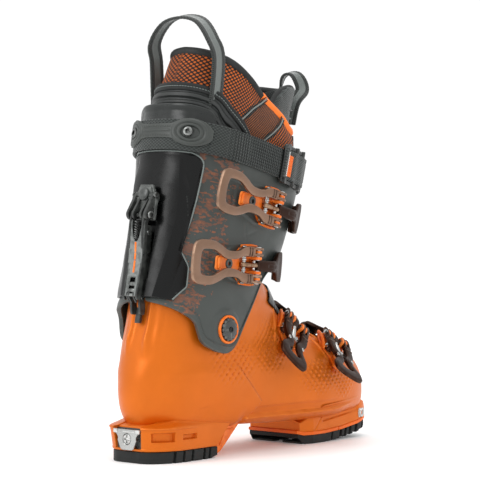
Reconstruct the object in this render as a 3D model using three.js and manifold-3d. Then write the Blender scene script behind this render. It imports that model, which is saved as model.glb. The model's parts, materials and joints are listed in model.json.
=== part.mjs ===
// An alpine touring boot for the right foot: a hinged two-piece shell with four micro-adjusting buckles,
// a walk lever on the spine, a power strap and a soft removable liner.
// Frame: toe to +X, inner (medial) side to +Y, Z up, millimetres. The ground is Z = 0 and the middle of
// the sole is X = 0.
import * as THREE from 'three';
import { mergeVertices } from 'three/addons/utils/BufferGeometryUtils.js';
import Module from 'manifold-3d';

const wasm = await Module();
wasm.setup();

// ---------------------------------------------------------------- driving dimensions
const SOLE_HALF_LENGTH = 151.5;
const SOLE_HALF_WIDTH = 34.5;
const CENTRE_SHIFT_Y = 8;                     // the sole's middle line, from the middle of the whole width
const PIVOT = new THREE.Vector3(-80, 0, 112); // ankle hinge, in the boot's middle plane
const LEAN = THREE.MathUtils.degToRad(14);    // forward lean of the shaft
const SHELL_WALL = 4.2;
const CUFF_WALL = 3.6;
const SHELL_FLOOR = 24;                       // underside of the shell's body, over the sole lugs
const LUG_TOP = 31;
const TREAD = 10;
const GAP = 0.3;                              // clearance between pieces that touch

// ---------------------------------------------------------------- materials
const plastic = (color, roughness = 0.5) => new THREE.MeshStandardMaterial({ color, roughness, metalness: 0 });
const metal = (color, roughness = 0.35) => new THREE.MeshStandardMaterial({ color, roughness, metalness: 1 });
const ORANGE_SHELL = plastic(0xd9752a, 0.45);
const BRIGHT_ORANGE = plastic(0xf26a0c, 0.4);
const CUFF_GREY = plastic(0x4a504d, 0.6);
const BLACK_PANEL = plastic(0x1b1c1c, 0.4);
const SPOILER_GREY = plastic(0x555856, 0.35);
const RUBBER = plastic(0x202122, 0.9);
const WEBBING = plastic(0x2c2e2d, 0.95);
const LINER_MESH = plastic(0x9c4420, 0.95);
const LINER_BLACK = plastic(0x202322, 0.85);
const FOAM = plastic(0x303231, 0.9);
const BRONZE = metal(0xa58a72, 0.45);
const DARK_BROWN = metal(0x3a2a22, 0.5);
const STEEL = metal(0xc9c9c7, 0.25);
const BLACK_METAL = metal(0x222324, 0.35);

// ---------------------------------------------------------------- small tools
const v3 = (x, y, z) => new THREE.Vector3(x, y, z);
const clamp01 = (t) => Math.min(1, Math.max(0, t));
const smooth = (a, b, t) => {
  const u = clamp01((t - a) / (b - a));
  return u * u * (3 - 2 * u);
};

// A smooth function through knots [position, value, value, ...], by cubic pieces.
function through(knots) {
  const n = knots.length;
  const slope = (i, k) => {
    const a = knots[Math.max(0, i - 1)];
    const b = knots[Math.min(n - 1, i + 1)];
    return (b[k] - a[k]) / (b[0] - a[0]);
  };
  return (s) => {
    let i = 0;
    while (i < n - 2 && s > knots[i + 1][0]) i += 1;
    const h = knots[i + 1][0] - knots[i][0];
    const t = clamp01((s - knots[i][0]) / h);
    const [t2, t3] = [t * t, t * t * t];
    return knots[i].slice(1).map((_, j) => {
      const k = j + 1;
      return (2 * t3 - 3 * t2 + 1) * knots[i][k] + (t3 - 2 * t2 + t) * h * slope(i, k)
        + (3 * t2 - 2 * t3) * knots[i + 1][k] + (t3 - t2) * h * slope(i + 1, k);
    });
  };
}

function solidFrom(points, triangles) {
  const make = (tris) => new wasm.Manifold(new wasm.Mesh({
    numProp: 3,
    vertProperties: new Float32Array(points.flatMap((p) => [p.x, p.y, p.z])),
    triVerts: new Uint32Array(tris.flat()),
  }));
  const made = make(triangles);
  return made.volume() > 0 ? made : make(triangles.map(([a, b, c]) => [a, c, b]));
}

function solidOf(geometry) {
  const bare = new THREE.BufferGeometry().setAttribute('position', geometry.getAttribute('position'));
  if (geometry.index) bare.setIndex(geometry.index);
  const merged = mergeVertices(bare, 1e-3);
  const position = merged.getAttribute('position');
  const points = Array.from({ length: position.count }, (_, i) => new THREE.Vector3().fromBufferAttribute(position, i));
  const index = merged.index.array;
  const triangles = [];
  for (let i = 0; i < index.length; i += 3) {
    const [a, b, c] = [index[i], index[i + 1], index[i + 2]];
    if (a !== b && b !== c && a !== c) triangles.push([a, b, c]);
  }
  return solidFrom(points, triangles);
}

function geometryOf(solid) {
  const m = solid.getMesh();
  const position = new Float32Array(m.numVert * 3);
  for (let i = 0; i < m.numVert; i += 1) {
    position.set(m.vertProperties.subarray(i * m.numProp, i * m.numProp + 3), i * 3);
  }
  return new THREE.BufferGeometry()
    .setAttribute('position', new THREE.BufferAttribute(position, 3))
    .setIndex(new THREE.BufferAttribute(m.triVerts, 1));
}

function mesh(name, solid, material) {
  const made = new THREE.Mesh(geometryOf(solid), material);
  made.name = name;
  return made;
}

// A body through a stack of rings with the same number of points; its two ends are closed.
function loft(rings) {
  const n = rings[0].length;
  const points = rings.flat();
  const triangles = [];
  for (let r = 0; r < rings.length - 1; r += 1) {
    for (let i = 0; i < n; i += 1) {
      const [a, b] = [r * n + i, r * n + ((i + 1) % n)];
      triangles.push([a, b, b + n], [a, b + n, a + n]);
    }
  }
  [0, rings.length - 1].forEach((r, end) => {
    const middle = rings[r].reduce((sum, p) => sum.add(p), v3(0, 0, 0)).divideScalar(n);
    points.push(middle);
    for (let i = 0; i < n; i += 1) {
      const [a, b] = [r * n + i, r * n + ((i + 1) % n)];
      triangles.push(end ? [a, b, points.length - 1] : [b, a, points.length - 1]);
    }
  });
  return solidFrom(points, triangles);
}

// A curved plate between two surfaces, each a function of u and v from 0 to 1. With wrap, u closes on itself.
function plate(nu, nv, outer, inner, wrap = false) {
  const columns = wrap ? nu : nu + 1;
  const points = [];
  [outer, inner].forEach((side) => {
    for (let i = 0; i < columns; i += 1) {
      for (let j = 0; j <= nv; j += 1) points.push(side(i / nu, j / nv));
    }
  });
  const at = (side, i, j) => side * columns * (nv + 1) + (i % columns) * (nv + 1) + j;
  const triangles = [];
  const quad = (a, b, c, d) => triangles.push([a, b, c], [a, c, d]);
  for (let i = 0; i < nu; i += 1) {
    for (let j = 0; j < nv; j += 1) {
      quad(at(0, i, j), at(0, i + 1, j), at(0, i + 1, j + 1), at(0, i, j + 1));
      quad(at(1, i, j), at(1, i, j + 1), at(1, i + 1, j + 1), at(1, i + 1, j));
    }
    quad(at(0, i, 0), at(1, i, 0), at(1, i + 1, 0), at(0, i + 1, 0));
    quad(at(0, i, nv), at(0, i + 1, nv), at(1, i + 1, nv), at(1, i, nv));
  }
  if (!wrap) {
    for (let j = 0; j < nv; j += 1) {
      quad(at(0, 0, j), at(0, 0, j + 1), at(1, 0, j + 1), at(1, 0, j));
      quad(at(0, nu, j), at(1, nu, j), at(1, nu, j + 1), at(0, nu, j + 1));
    }
  }
  return solidFrom(points, triangles);
}

// Solids from three.js geometries, moved by position and rotation in degrees.
function placed(geometry, position = [0, 0, 0], turn = [0, 0, 0]) {
  const rotation = new THREE.Euler(...turn.map(THREE.MathUtils.degToRad));
  const matrix = new THREE.Matrix4().compose(
    v3(...position), new THREE.Quaternion().setFromEuler(rotation), v3(1, 1, 1));
  return solidOf(geometry.clone().applyMatrix4(matrix));
}
const box = (x, y, z, position, turn) => placed(new THREE.BoxGeometry(x, y, z), position, turn);
const rodY = (r, length, position, sides = 16) =>
  placed(new THREE.CylinderGeometry(r, r, length, sides), position);
const rodX = (r, length, position, sides = 16) =>
  placed(new THREE.CylinderGeometry(r, r, length, sides), position, [0, 0, 90]);
const rodZ = (r, length, position, sides = 16) =>
  placed(new THREE.CylinderGeometry(r, r, length, sides), position, [90, 0, 0]);

// A flat outline in X and Y, [[x, y], ...], pushed up from z0 to z1.
function slab(outline, z0, z1) {
  const shape = new THREE.Shape(outline.map(([x, y]) => new THREE.Vector2(x, y)));
  return placed(new THREE.ExtrudeGeometry(shape, { depth: z1 - z0, bevelEnabled: false }), [0, 0, z0]);
}

// A side outline in X and Z, pushed across from y0 to y1.
function side(outline, y0, y1) {
  const shape = new THREE.Shape(outline.map(([x, z]) => new THREE.Vector2(x, z)));
  return placed(new THREE.ExtrudeGeometry(shape, { depth: y1 - y0, bevelEnabled: false }), [0, y1, 0], [90, 0, 0]);
}
const mirrored = (outline) => [...outline, ...outline.map(([x, y]) => [x, -y]).reverse()];
function frameOf(origin, forward, out) {
  const z = out.clone().normalize();
  const x = forward.clone().addScaledVector(z, -forward.dot(z)).normalize();
  return new THREE.Matrix4().makeBasis(x, z.clone().cross(x), z).setPosition(origin);
}
const moved = (solid, frame) => solidOf(geometryOf(solid).applyMatrix4(frame));
const join = (first, ...rest) => rest.reduce((sum, s) => sum.add(s), first);
const cut = (first, ...rest) => rest.reduce((left, s) => left.subtract(s), first);

// ---------------------------------------------------------------- lower shell form
// The foot's sections fan round the instep, from the toe to the collar. Each knot: position along the
// foot, top point x and z, bottom point x and z, half width, middle y, place of the widest point,
// top and bottom fullness.
const footAt = through([
  [0.00, 147.5, 58, 147.5, 38, 10, 4, 0.55, 2.2, 2.2],
  [0.04, 145, 69, 145.5, 30, 23, 4, 0.55, 2.2, 2.6],
  [0.09, 138.5, 78, 139, 25, 33, 3.5, 0.58, 2.2, 3.2],
  [0.15, 128, 86, 129, 24, 40.5, 3, 0.6, 2.1, 3.8],
  [0.23, 108, 93, 109, 24, 46, 2, 0.62, 1.95, 4.2],
  [0.32, 82, 101, 82, 24, 49, 1, 0.62, 1.85, 4.2],
  [0.40, 60, 107, 54, 24, 49, 0, 0.6, 1.8, 4],
  [0.48, 44, 114, 18, 24, 47, 0, 0.58, 1.8, 3.8],
  [0.56, 33, 124, -24, 24, 44.5, 0, 0.55, 1.85, 3.4],
  [0.64, 25, 134, -68, 24, 43.5, 0, 0.52, 2, 3],
  [0.71, 19, 141, -106, 24, 43.5, 0, 0.5, 2.3, 2.6],
  [0.77, 14, 146, -134, 26, 43.5, 0, 0.48, 2.4, 2.3],
  [0.82, 10, 150, -146.5, 40, 43.5, 0, 0.47, 2.4, 2.2],
  [0.87, 6, 153, -148, 66, 43.5, 0, 0.46, 2.4, 2.2],
  [0.92, 2, 156, -142, 92, 43.5, 0, 0.47, 2.4, 2.3],
  [0.96, -3, 159, -133.5, 117, 43.5, 0, 0.48, 2.4, 2.4],
  [1.00, -9, 164, -128.5, 144, 43, 0, 0.5, 2.4, 2.4],
]);

// A ring of the foot form, moved inwards by inset. q runs from the top of the section to its bottom.
function footRing(s, inset, count) {
  const [tx, tz, bx, bz, half, middle, widest, topFull, bottomFull] = footAt(s);
  const top = v3(tx, 0, tz);
  const bottom = v3(bx, 0, bz);
  const along = bottom.clone().sub(top).normalize();
  top.addScaledVector(along, inset);
  bottom.addScaledVector(along, -inset);
  const ring = [];
  for (let i = 0; i < count; i += 1) {
    const turn = (i / count) * 2 * Math.PI;
    const q = 0.5 - 0.5 * Math.cos(turn);
    const u = q < widest ? (widest - q) / widest : (q - widest) / (1 - widest);
    const full = q < widest ? topFull : bottomFull;
    const y = (half - inset) * (1 - u ** full) ** (1 / full) * (turn < Math.PI ? 1 : -1);
    ring.push(top.clone().lerp(bottom, q).setY(middle + y));
  }
  return ring;
}
const footLoft = (inset, from, to, steps, count, extra = []) => loft([
  ...Array.from({ length: steps + 1 }, (_, i) => footRing(from + ((to - from) * i) / steps, inset, count)),
  ...extra,
]);

// ---------------------------------------------------------------- shaft form
// Shaft coordinates: w forward and t up the leaning shaft from the ankle hinge. Each knot: t, front w,
// back w, half width.
const shaftAt = through([
  [-25, 56, -63, 49.5],
  [0, 60, -62.5, 49.5],
  [50, 74, -61.5, 50],
  [80, 85, -61.5, 51.5],
  [105, 90, -63, 53],
  [130, 93, -65.5, 54.5],
  [145, 94, -68, 55.3],
  [180, 95, -69, 56],
  [240, 99, -61, 55],
]);
const FRONT_FULL = 2.45;                      // the section is rounder at the shin than at the calf
const BACK_FULL = 2.4;
const shaftPoint = (w, y, t) => v3(
  PIVOT.x + w * Math.cos(LEAN) + t * Math.sin(LEAN), y,
  PIVOT.z - w * Math.sin(LEAN) + t * Math.cos(LEAN));

// A point on the shaft's surface, out from it by offset. The angle is 0 at the front, 90 on the outer
// (lateral) side, 180 at the back and 270 on the inner side.
function shaftSurface(angle, t, offset, narrow = 0) {
  const [front, back, half] = shaftAt(t);
  const [c, s] = [Math.cos(THREE.MathUtils.degToRad(angle)), Math.sin(THREE.MathUtils.degToRad(angle))];
  const full = FRONT_FULL + (BACK_FULL - FRONT_FULL) * (0.5 - 0.5 * c);
  const deep = (front - back) / 2 + offset;
  const wide = half + offset - narrow;
  const r = ((Math.abs(c) / deep) ** full + (Math.abs(s) / wide) ** full) ** (-1 / full);
  return shaftPoint((front + back) / 2 + r * c, -r * s, t);
}
// A plate on the shaft between two angles, with lower and upper edges as functions of the angle.
function shaftPlate({ from, to, low, high, inner, outer, nu = 24, nv = 6, wrap = false, on = shaftSurface }) {
  const surface = (offset) => (u, v) => {
    const angle = from + (to - from) * u;
    const t = low(angle) + (high(angle) - low(angle)) * v;
    return on(angle, t, offset(angle, t));
  };
  return plate(nu, nv, surface(outer), surface(inner), wrap);
}
const folded = (angle) => {
  const a = ((angle % 360) + 360) % 360;
  return a > 180 ? 360 - a : a;
};
const edge = (knots) => {
  const f = through(knots);
  return (angle) => f(folded(angle))[0];
};

// ---------------------------------------------------------------- lower shell and sole
const heelPlan = (half, back, front, corner) => {
  const outline = [[front, half]];
  for (let i = 0; i <= 6; i += 1) {
    const a = (i / 6) * (Math.PI / 2);
    outline.push([back + corner * (1 - Math.sin(a)), half - corner * (1 - Math.cos(a)) * 0.72]);
  }
  return mirrored(outline);
};
const toePlan = (half, front, back, corner) => heelPlan(half, -front, -back, corner)
  .map(([x, y]) => [-x, y]).reverse();

// The toe's rocker: the tread's underside, flat under the ball and rising to the tip.
const ROCKER = [[44, 1.5], [50, 0], [78, 0], [102, 1.6], [126, 5], [SOLE_HALF_LENGTH - 1, 10.5]];
const lifted = (outline, dz) => outline.map(([x, z]) => [x, z + dz]);
function lowerShell() {
  const collar = footRing(1, SHELL_WALL, 32).map((p) => p.clone().add(v3(2, 0, 40)));
  const foot = footLoft(0, 0, 1, 28, 32);
  const cavity = footLoft(SHELL_WALL, 0.03, 1, 24, 32, [collar]);
  const heelLug = slab(heelPlan(SOLE_HALF_WIDTH, -SOLE_HALF_LENGTH, -70, 26), TREAD + GAP, LUG_TOP);
  const heelFace = side([[-160, 0], [-72, 0], [-72, LUG_TOP + 8], [-160, LUG_TOP + 8]], -50, 50);
  const toeLug = slab(toePlan(SOLE_HALF_WIDTH, SOLE_HALF_LENGTH, 46, 24), TREAD, 34);
  const toeFace = side(
    [[40, 40], ...lifted(ROCKER, 10.5), [156, 21.4], [156, 28], [143, 28], [139, 34], [120, 40]], -50, 50);
  const body = join(
    foot,
    heelLug.intersect(heelFace),
    toeLug.intersect(toeFace),
  );
  const insertSeat = box(5, 30.6, 17.6, [-SOLE_HALF_LENGTH, 0, LUG_TOP - 9.5]);
  const sideSlots = [-1, 1].map((s) => box(22, 4, 5, [-112, s * 36, 21]));
  return cut(body, cavity, insertSeat, ...sideSlots, lockSlot(),
    rodY(6.4, 120, [PIVOT.x, 0, PIVOT.z]),
    ...[-1, 1].map((s) => rodY(4.4, 4, [134, s * 33, 23])));
}

// Cross grooves of a tread, from the side.
const grooves = (places, depth) => places.map((x) => box(3, 90, depth * 2, [x, 0, 0]));

function heelTread() {
  const body = slab(heelPlan(SOLE_HALF_WIDTH - 0.6, -SOLE_HALF_LENGTH + 0.8, -72, 26), 0, TREAD);
  const waist = box(60, 16, 6, [-96, 0, 0]);
  return cut(body, ...grooves([-128, -115, -102, -88], 3.5), cut(waist, box(16, 16, 8, [-111, 0, 0])));
}

function toeTread() {
  const profile = side([...ROCKER, ...lifted(ROCKER, 8).reverse()], -45, 45);
  const plan = slab(toePlan(SOLE_HALF_WIDTH - 0.6, SOLE_HALF_LENGTH - 1, 44, 24), -5, 40);
  return cut(profile.intersect(plan), ...[92, 106, 120, 134].map((x, i) => box(3.2, 90, 7, [x, 0, 1.2 + i * 1.9])),
    box(18, 14, 5, [64, 0, 0]));
}
function toeSolePlate() {
  const profile = side([...lifted(ROCKER, 8 + GAP), ...lifted([...ROCKER].reverse(), 10.2)], -45, 45);
  const plan = slab(toePlan(SOLE_HALF_WIDTH + 0.3, SOLE_HALF_LENGTH - 0.3, 43, 24), -5, 40);
  return profile.intersect(plan);
}
const heelWedge = () => side(
  [[-71.4, 0.8], [-64, 3], [-47, 23.2], [-71.4, 23.2]], -26, 26);

// ---------------------------------------------------------------- cuff
const CUFF_LOW = edge([[0, 76], [20, 74.5], [35, 70], [47, 62], [54, 50], [57, 32], [63, 9], [68, -8],
  [78, -18], [90, -20], [104, -19], [116, -15], [127, -1], [140, 5], [155, 9], [180, 12.7]]);
const CUFF_HIGH = edge([[0, 146], [50, 152], [90, 160], [130, 165], [180, 167]]);
const FLAP_STEP = CUFF_WALL + 0.9;
// A slot in the cuff's lower back edge, through which the walk bar reaches the shell.
const leaningSide = (outline, y0, y1) => side(outline.map(([w, t]) => {
  const p = shaftPoint(w, 0, t);
  return [p.x, p.z];
}), y0, y1);
const lockNotch = () => leaningSide([[-50, -6], [-50, 27], [-85, 27], [-85, -6]], -7.4, 7.4);
// The inner flap of the front overlap runs under the outer one.
const flapDrop = (angle) => FLAP_STEP * smooth(296, 336, angle);
const cuffBody = () => cut(
  shaftPlate({
    from: -24, to: 396, low: CUFF_LOW, high: CUFF_HIGH, nu: 70, nv: 6,
    outer: (angle) => -flapDrop(angle), inner: (angle) => -flapDrop(angle) - CUFF_WALL,
  }),
  rodY(6.4, 140, [PIVOT.x, 0, PIVOT.z], 20), lockNotch(),
  leaningSide([[-60, 20], [-61, 75], [-80, 75], [-80, 20]], -7.4, 7.4));

const backPanel = () => cut(shaftPlate({
  from: 142, to: 218, nu: 18, nv: 6,
  low: edge([[0, 12], [142, 20], [152, 14], [180, 16]]),
  high: edge([[0, 130], [142, 130], [152, 138], [180, 141]]),
  inner: () => GAP, outer: () => 2.6,
}), leaningSide([[-50, 0], [-50, 78], [-80, 78], [-80, 0]], -9, 9));
const rearSpoiler = () => shaftPlate({
  from: 139, to: 221, nu: 16, nv: 4,
  low: () => 143, high: edge([[0, 160], [139, 166], [150, 179], [180, 182]]),
  inner: () => GAP, outer: () => 2.8,
});

// ---------------------------------------------------------------- walk lever
const WALK_PIVOT = { w: -84.5, t: 104 };       // the lever's own hinge, on the bracket
// The mechanism follows the back of the cuff, which runs inwards below t = 110.
const spineAt = ([w, t]) => [
  w + 13.5 - 6 * smooth(40, 110, t),
  t - 4 - 6 * smooth(10, 30, t) - 12 * smooth(50, 95, t)];
const spine = (outline, y0, y1) => leaningSide(outline.map(spineAt), y0, y1);
const onSpine = (w, t) => {
  const [across, up] = spineAt([w, t]);
  return shaftPoint(across, 0, up);
};
function walkParts() {
  const hinge = onSpine(WALK_PIVOT.w, WALK_PIVOT.t);
  const top = onSpine(-82.3, 122);
  const bracket = cut(
    join(
      spine([[-73.8, 100], [-76.5, 102], [-79.4, 131], [-76.8, 133]], -13, 13),
      ...[-1, 1].map((s) => spine([[-75, 104], [-88, 98], [-91, 105], [-88, 127], [-78, 131]],
        s > 0 ? 8.5 : -11.5, s > 0 ? 11.5 : -8.5))),
    rodY(2.3, 40, [hinge.x, 0, hinge.z]), rodY(2.3, 40, [top.x, 0, top.z]));
  const bracketPin = join(rodY(2, 25, [top.x, 0, top.z]), rodY(2.8, 2, [top.x, -13, top.z]));
  const bar = cut(
    join(
      spine([[-73.9, 22], [-73.9, 96], [-79.5, 96], [-79.5, 22]], -6, 6),
      ...[-1, 1].map((s) => spine([[-70.4, 3], [-70.4, 9], [-74.4, 24], [-79.5, 24], [-79.5, 14], [-77, 2]],
        s > 0 ? 3.5 : -6, s > 0 ? 6 : -3.5))),
    spine([[-95, 40], [-77.5, 40], [-77.5, 88], [-95, 88]], -3.2, 3.2));
  const lever = cut(
    join(
      ...[-1, 1].map((s) => spine(
        [[-87.5, 110], [-81, 108], [-80.6, 60], [-80.4, 20], [-87, 16], [-86.5, 60], [-90, 98]],
        s > 0 ? 6.4 : -8.2, s > 0 ? 8.2 : -6.4)),
      spine([[-84.2, 86], [-85, 60], [-84.8, 24], [-87, 22], [-87.4, 60], [-88.2, 86]], -6.5, 6.5)),
    rodY(2.3, 40, [hinge.x, 0, hinge.z]));
  const pin = join(rodY(2, 24.5, [hinge.x, 0, hinge.z]), rodY(3.6, 1.6, [hinge.x, -12.8, hinge.z]));
  const coil = onSpine(-82.2, 97);
  const spring = cut(rodY(2.2, 9, [coil.x, 0, coil.z], 12), rodY(1.2, 12, [coil.x, 0, coil.z], 12));
  return { bracket, bracketPin, bar, lever, pin, spring, hinge };
}
// Rings about the ankle hinge, between two angles: the shell's slot for the bar, and the tongue in it.
function ankleRing(inner, outer, from, to, half) {
  const arc = (r, a0, a1) => [0, 0.25, 0.5, 0.75, 1].map((u) => {
    const a = THREE.MathUtils.degToRad(a0 + (a1 - a0) * u);
    return [PIVOT.x + r * Math.cos(a), PIVOT.z + r * Math.sin(a)];
  });
  return side([...arc(inner, from, to), ...arc(outer, to, from)], -half, half);
}
const LOCK_RADIUS = 56;
const lockSlot = () => ankleRing(LOCK_RADIUS, LOCK_RADIUS + 22, 138, 189, 6.9);
const walkAnchor = () => ankleRing(LOCK_RADIUS + 0.4, LOCK_RADIUS + 3.6, 161, 174, 2.9);

// ---------------------------------------------------------------- power strap
const STRAP_LOW = 142.5;
const STRAP_HIGH = 167.5;
const strapOffset = (angle) => 0.8 + 2.6 * smooth(118, 134, folded(angle));
const strapBand = () => shaftPlate({
  from: 0, to: 360, wrap: true, nu: 64, nv: 1, low: () => STRAP_LOW, high: () => STRAP_HIGH,
  inner: strapOffset, outer: (angle) => strapOffset(angle) + 2.2,
});
const onStrap = (angle, more) => strapOffset(angle) + 2.2 + more;
const yokeScrewFrame = (s) => {
  const seat = shaftSurface(180 + s * YOKE_SCREW_ANGLE, 157.5, 6.5);
  const out = shaftSurface(180 + s * YOKE_SCREW_ANGLE, 157.5, 12).sub(seat);
  return frameOf(seat, v3(0, 0, 1), out);
};
const strapYoke = () => cut(
  shaftPlate({
    from: 143, to: 217, nu: 20, nv: 2,
    low: edge([[0, 150], [145, 151], [152, 148], [160, 152], [180, 152.5]]),
    high: edge([[0, 164], [145, 163], [152, 167], [160, 163], [180, 162]]),
    inner: (a) => onStrap(a, GAP), outer: (a) => onStrap(a, 2.6),
  }),
  ...[-1, 1].map((s) => moved(rodZ(4.8, 12, [0, 0, 1]), yokeScrewFrame(s))));
const YOKE_SCREW_ANGLE = 21;
// The strap's loose end lies over the frame that holds it.
const strapBuckle = () => cut(
  shaftPlate({
    from: 50, to: 77, nu: 10, nv: 1, low: () => STRAP_LOW - 3.5, high: () => STRAP_HIGH + 3.5,
    inner: (a) => onStrap(a, GAP), outer: (a) => onStrap(a, 2.6),
  }),
  shaftPlate({
    from: 55, to: 72, nu: 6, nv: 1, low: () => STRAP_LOW + 4, high: () => STRAP_HIGH - 4,
    inner: (a) => onStrap(a, -1), outer: (a) => onStrap(a, 8),
  }));
const strapTab = () => shaftPlate({
  from: 44, to: 75, nu: 10, nv: 1, low: () => STRAP_LOW + 0.5, high: () => STRAP_HIGH - 0.5,
  inner: (a) => onStrap(a, 2.9), outer: (a) => onStrap(a, 5),
});

// ---------------------------------------------------------------- liner
const LINER_RIM = edge([[0, 188], [45, 190], [60, 199], [90, 208], [125, 222], [150, 231], [180, 234]]);
// The cuff's part of the liner starts clear of the ankle, so that it can turn about the hinge.
const LINER_LOW = edge([[0, 68], [40, 74], [60, 84], [90, 92], [130, 84], [180, 75]]);
const linerOut = (t) => -(CUFF_WALL + FLAP_STEP + 1.2) + 7 * smooth(150, 205, t);
const LINER_THICK = 8;
const linerSurface = (angle, t, offset) => shaftSurface(angle, t, offset, 14 * smooth(170, 215, t));
const linerCuff = () => shaftPlate({
  from: 40, to: 320, nu: 44, nv: 6, low: LINER_LOW, high: LINER_RIM, on: linerSurface,
  outer: (a, t) => linerOut(t), inner: (a, t) => linerOut(t) - LINER_THICK,
});
const linerTongue = () => shaftPlate({
  from: -52, to: 52, nu: 16, nv: 6, low: () => 78, on: linerSurface, high: edge([[0, 240], [30, 236], [52, 216]]),
  outer: (a, t) => linerOut(t) - LINER_THICK - 1.2,
  inner: (a, t) => linerOut(t) - LINER_THICK - 7.5,
});
const LINER_FLOOR = 34;
function linerFoot() {
  const outer = footLoft(SHELL_WALL + 1.8, 0.04, 0.985, 18, 24);
  const opening = footRing(0.985, SHELL_WALL + 7, 24).map((p) => p.clone().add(v3(6, 0, 45)));
  const cavity = footLoft(SHELL_WALL + 7, 0.08, 0.985, 16, 24, [opening]);
  const above = (z) => box(400, 200, 400, [0, 0, z + 200]);
  return cut(outer.intersect(above(LINER_FLOOR + GAP)), cavity.intersect(above(LINER_FLOOR + 5)));
}
// A flat inner sole that follows the cavity's plan.
function innerSole(inset, z0, z1) {
  const layer = box(400, 200, z1 - z0, [0, 0, (z0 + z1) / 2]);
  return footLoft(inset, 0.09, 0.985, 16, 20).intersect(layer);
}

// ---------------------------------------------------------------- soft loops
// A flat ribbon along a curve; its width lies along the given direction at each point.
function ribbon(points, across, width, thick, steps) {
  const curve = new THREE.CatmullRomCurve3(points.map((p) => v3(...p)));
  const frames = (u) => {
    const tangent = curve.getTangent(u);
    const wanted = across(u);
    const wide = wanted.addScaledVector(tangent, -tangent.dot(wanted)).normalize();
    return [curve.getPoint(u), wide, tangent.clone().cross(wide)];
  };
  const face = (sign) => (u, v) => {
    const [p, wide, normal] = frames(u);
    return p.addScaledVector(wide, (v - 0.5) * width).addScaledVector(normal, sign * thick * 0.5);
  };
  return plate(steps, 1, face(1), face(-1));
}

// ---------------------------------------------------------------- buckles
// Buckle frame: x from the lever's handle towards the catch, y along the hinge, z out from the boot.
// The lever's hinge is at x = 0. The bail's barrel sits behind it and lower, so a closed lever is past centre.
const HINGE_Z = 9.6;
const BARREL = { x: -15, z: 6.4 };
const ARM_OUTER = 15.2;
const ARM_INNER = 8.2;
const EAR_INNER = 4.9;
const BASE_FLOOR = 2.2;

// Half outlines of the lever from the fork's tips back to the finger loop. stretch sets its length.
const leverEdge = (stretch, rows) => rows.map(([x, y]) => [x < -24 ? -24 + (x + 24) * stretch : x, y]);
const LEVER_OUTER = [[6, ARM_OUTER], [-14, ARM_OUTER], [-20, 14], [-30, 10.5], [-42, 10.5], [-55, 16.5],
  [-66, 19.3], [-80, 19.3], [-86, 15], [-88, 8]];
const LEVER_INNER = [[6, ARM_INNER], [-18, ARM_INNER], [-24, 7.5], [-31, 5], [-44, 5], [-56, 10],
  [-64, 12.8], [-77, 13], [-80.5, 7]];

function buckleLever({ stretch, lift }) {
  const outer = leverEdge(stretch, LEVER_OUTER);
  const inner = leverEdge(stretch, LEVER_INNER);
  const back = ([x, y]) => [x, -y];
  const flat = slab([...outer, ...outer.map(back).reverse(), ...inner.map(back), ...[...inner].reverse()],
    HINGE_Z - 2.4, HINGE_Z + 2.4);
  const loopStart = -24 - 18 * stretch;
  const bent = flat.warp((p) => {
    p[2] += lift * smooth(loopStart, loopStart - 26 * stretch, p[0]);
  });
  const studs = [-1, 1].map((s) => rodY(1.95, 6, [0, s * 8, HINGE_Z], 12));
  const barrelBore = rodY(1.9, 60, [BARREL.x, 0, BARREL.z], 12);
  const cheeks = [-1, 1].map((s) => box(9, ARM_OUTER - ARM_INNER - 0.4, 6,
    [BARREL.x, (s * (ARM_OUTER + ARM_INNER)) / 2, BARREL.z + 0.4]));
  return join(cut(join(bent, ...cheeks), barrelBore), ...studs);
}

function buckleBase({ stretch }) {
  const tail = -24 - 22 * stretch;
  const plan = [[tail, 6], [-22, 6.6], [-12, 14], [5, 14], [9, 9]];
  const floor = slab(mirrored(plan), 0, BASE_FLOOR);
  const ears = [-1, 1].map((s) => side([[-5.5, 1], [6.5, 1], [4, 12.8], [-3.5, 12.8]],
    s > 0 ? EAR_INNER : -EAR_INNER - 2.6, s > 0 ? EAR_INNER + 2.6 : -EAR_INNER));
  return cut(join(floor, ...ears), rodY(2.3, 60, [0, 0, HINGE_Z], 12),
    rodZ(2.8, 10, [-22 - 10 * stretch, 0, 0], 14));
}

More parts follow.
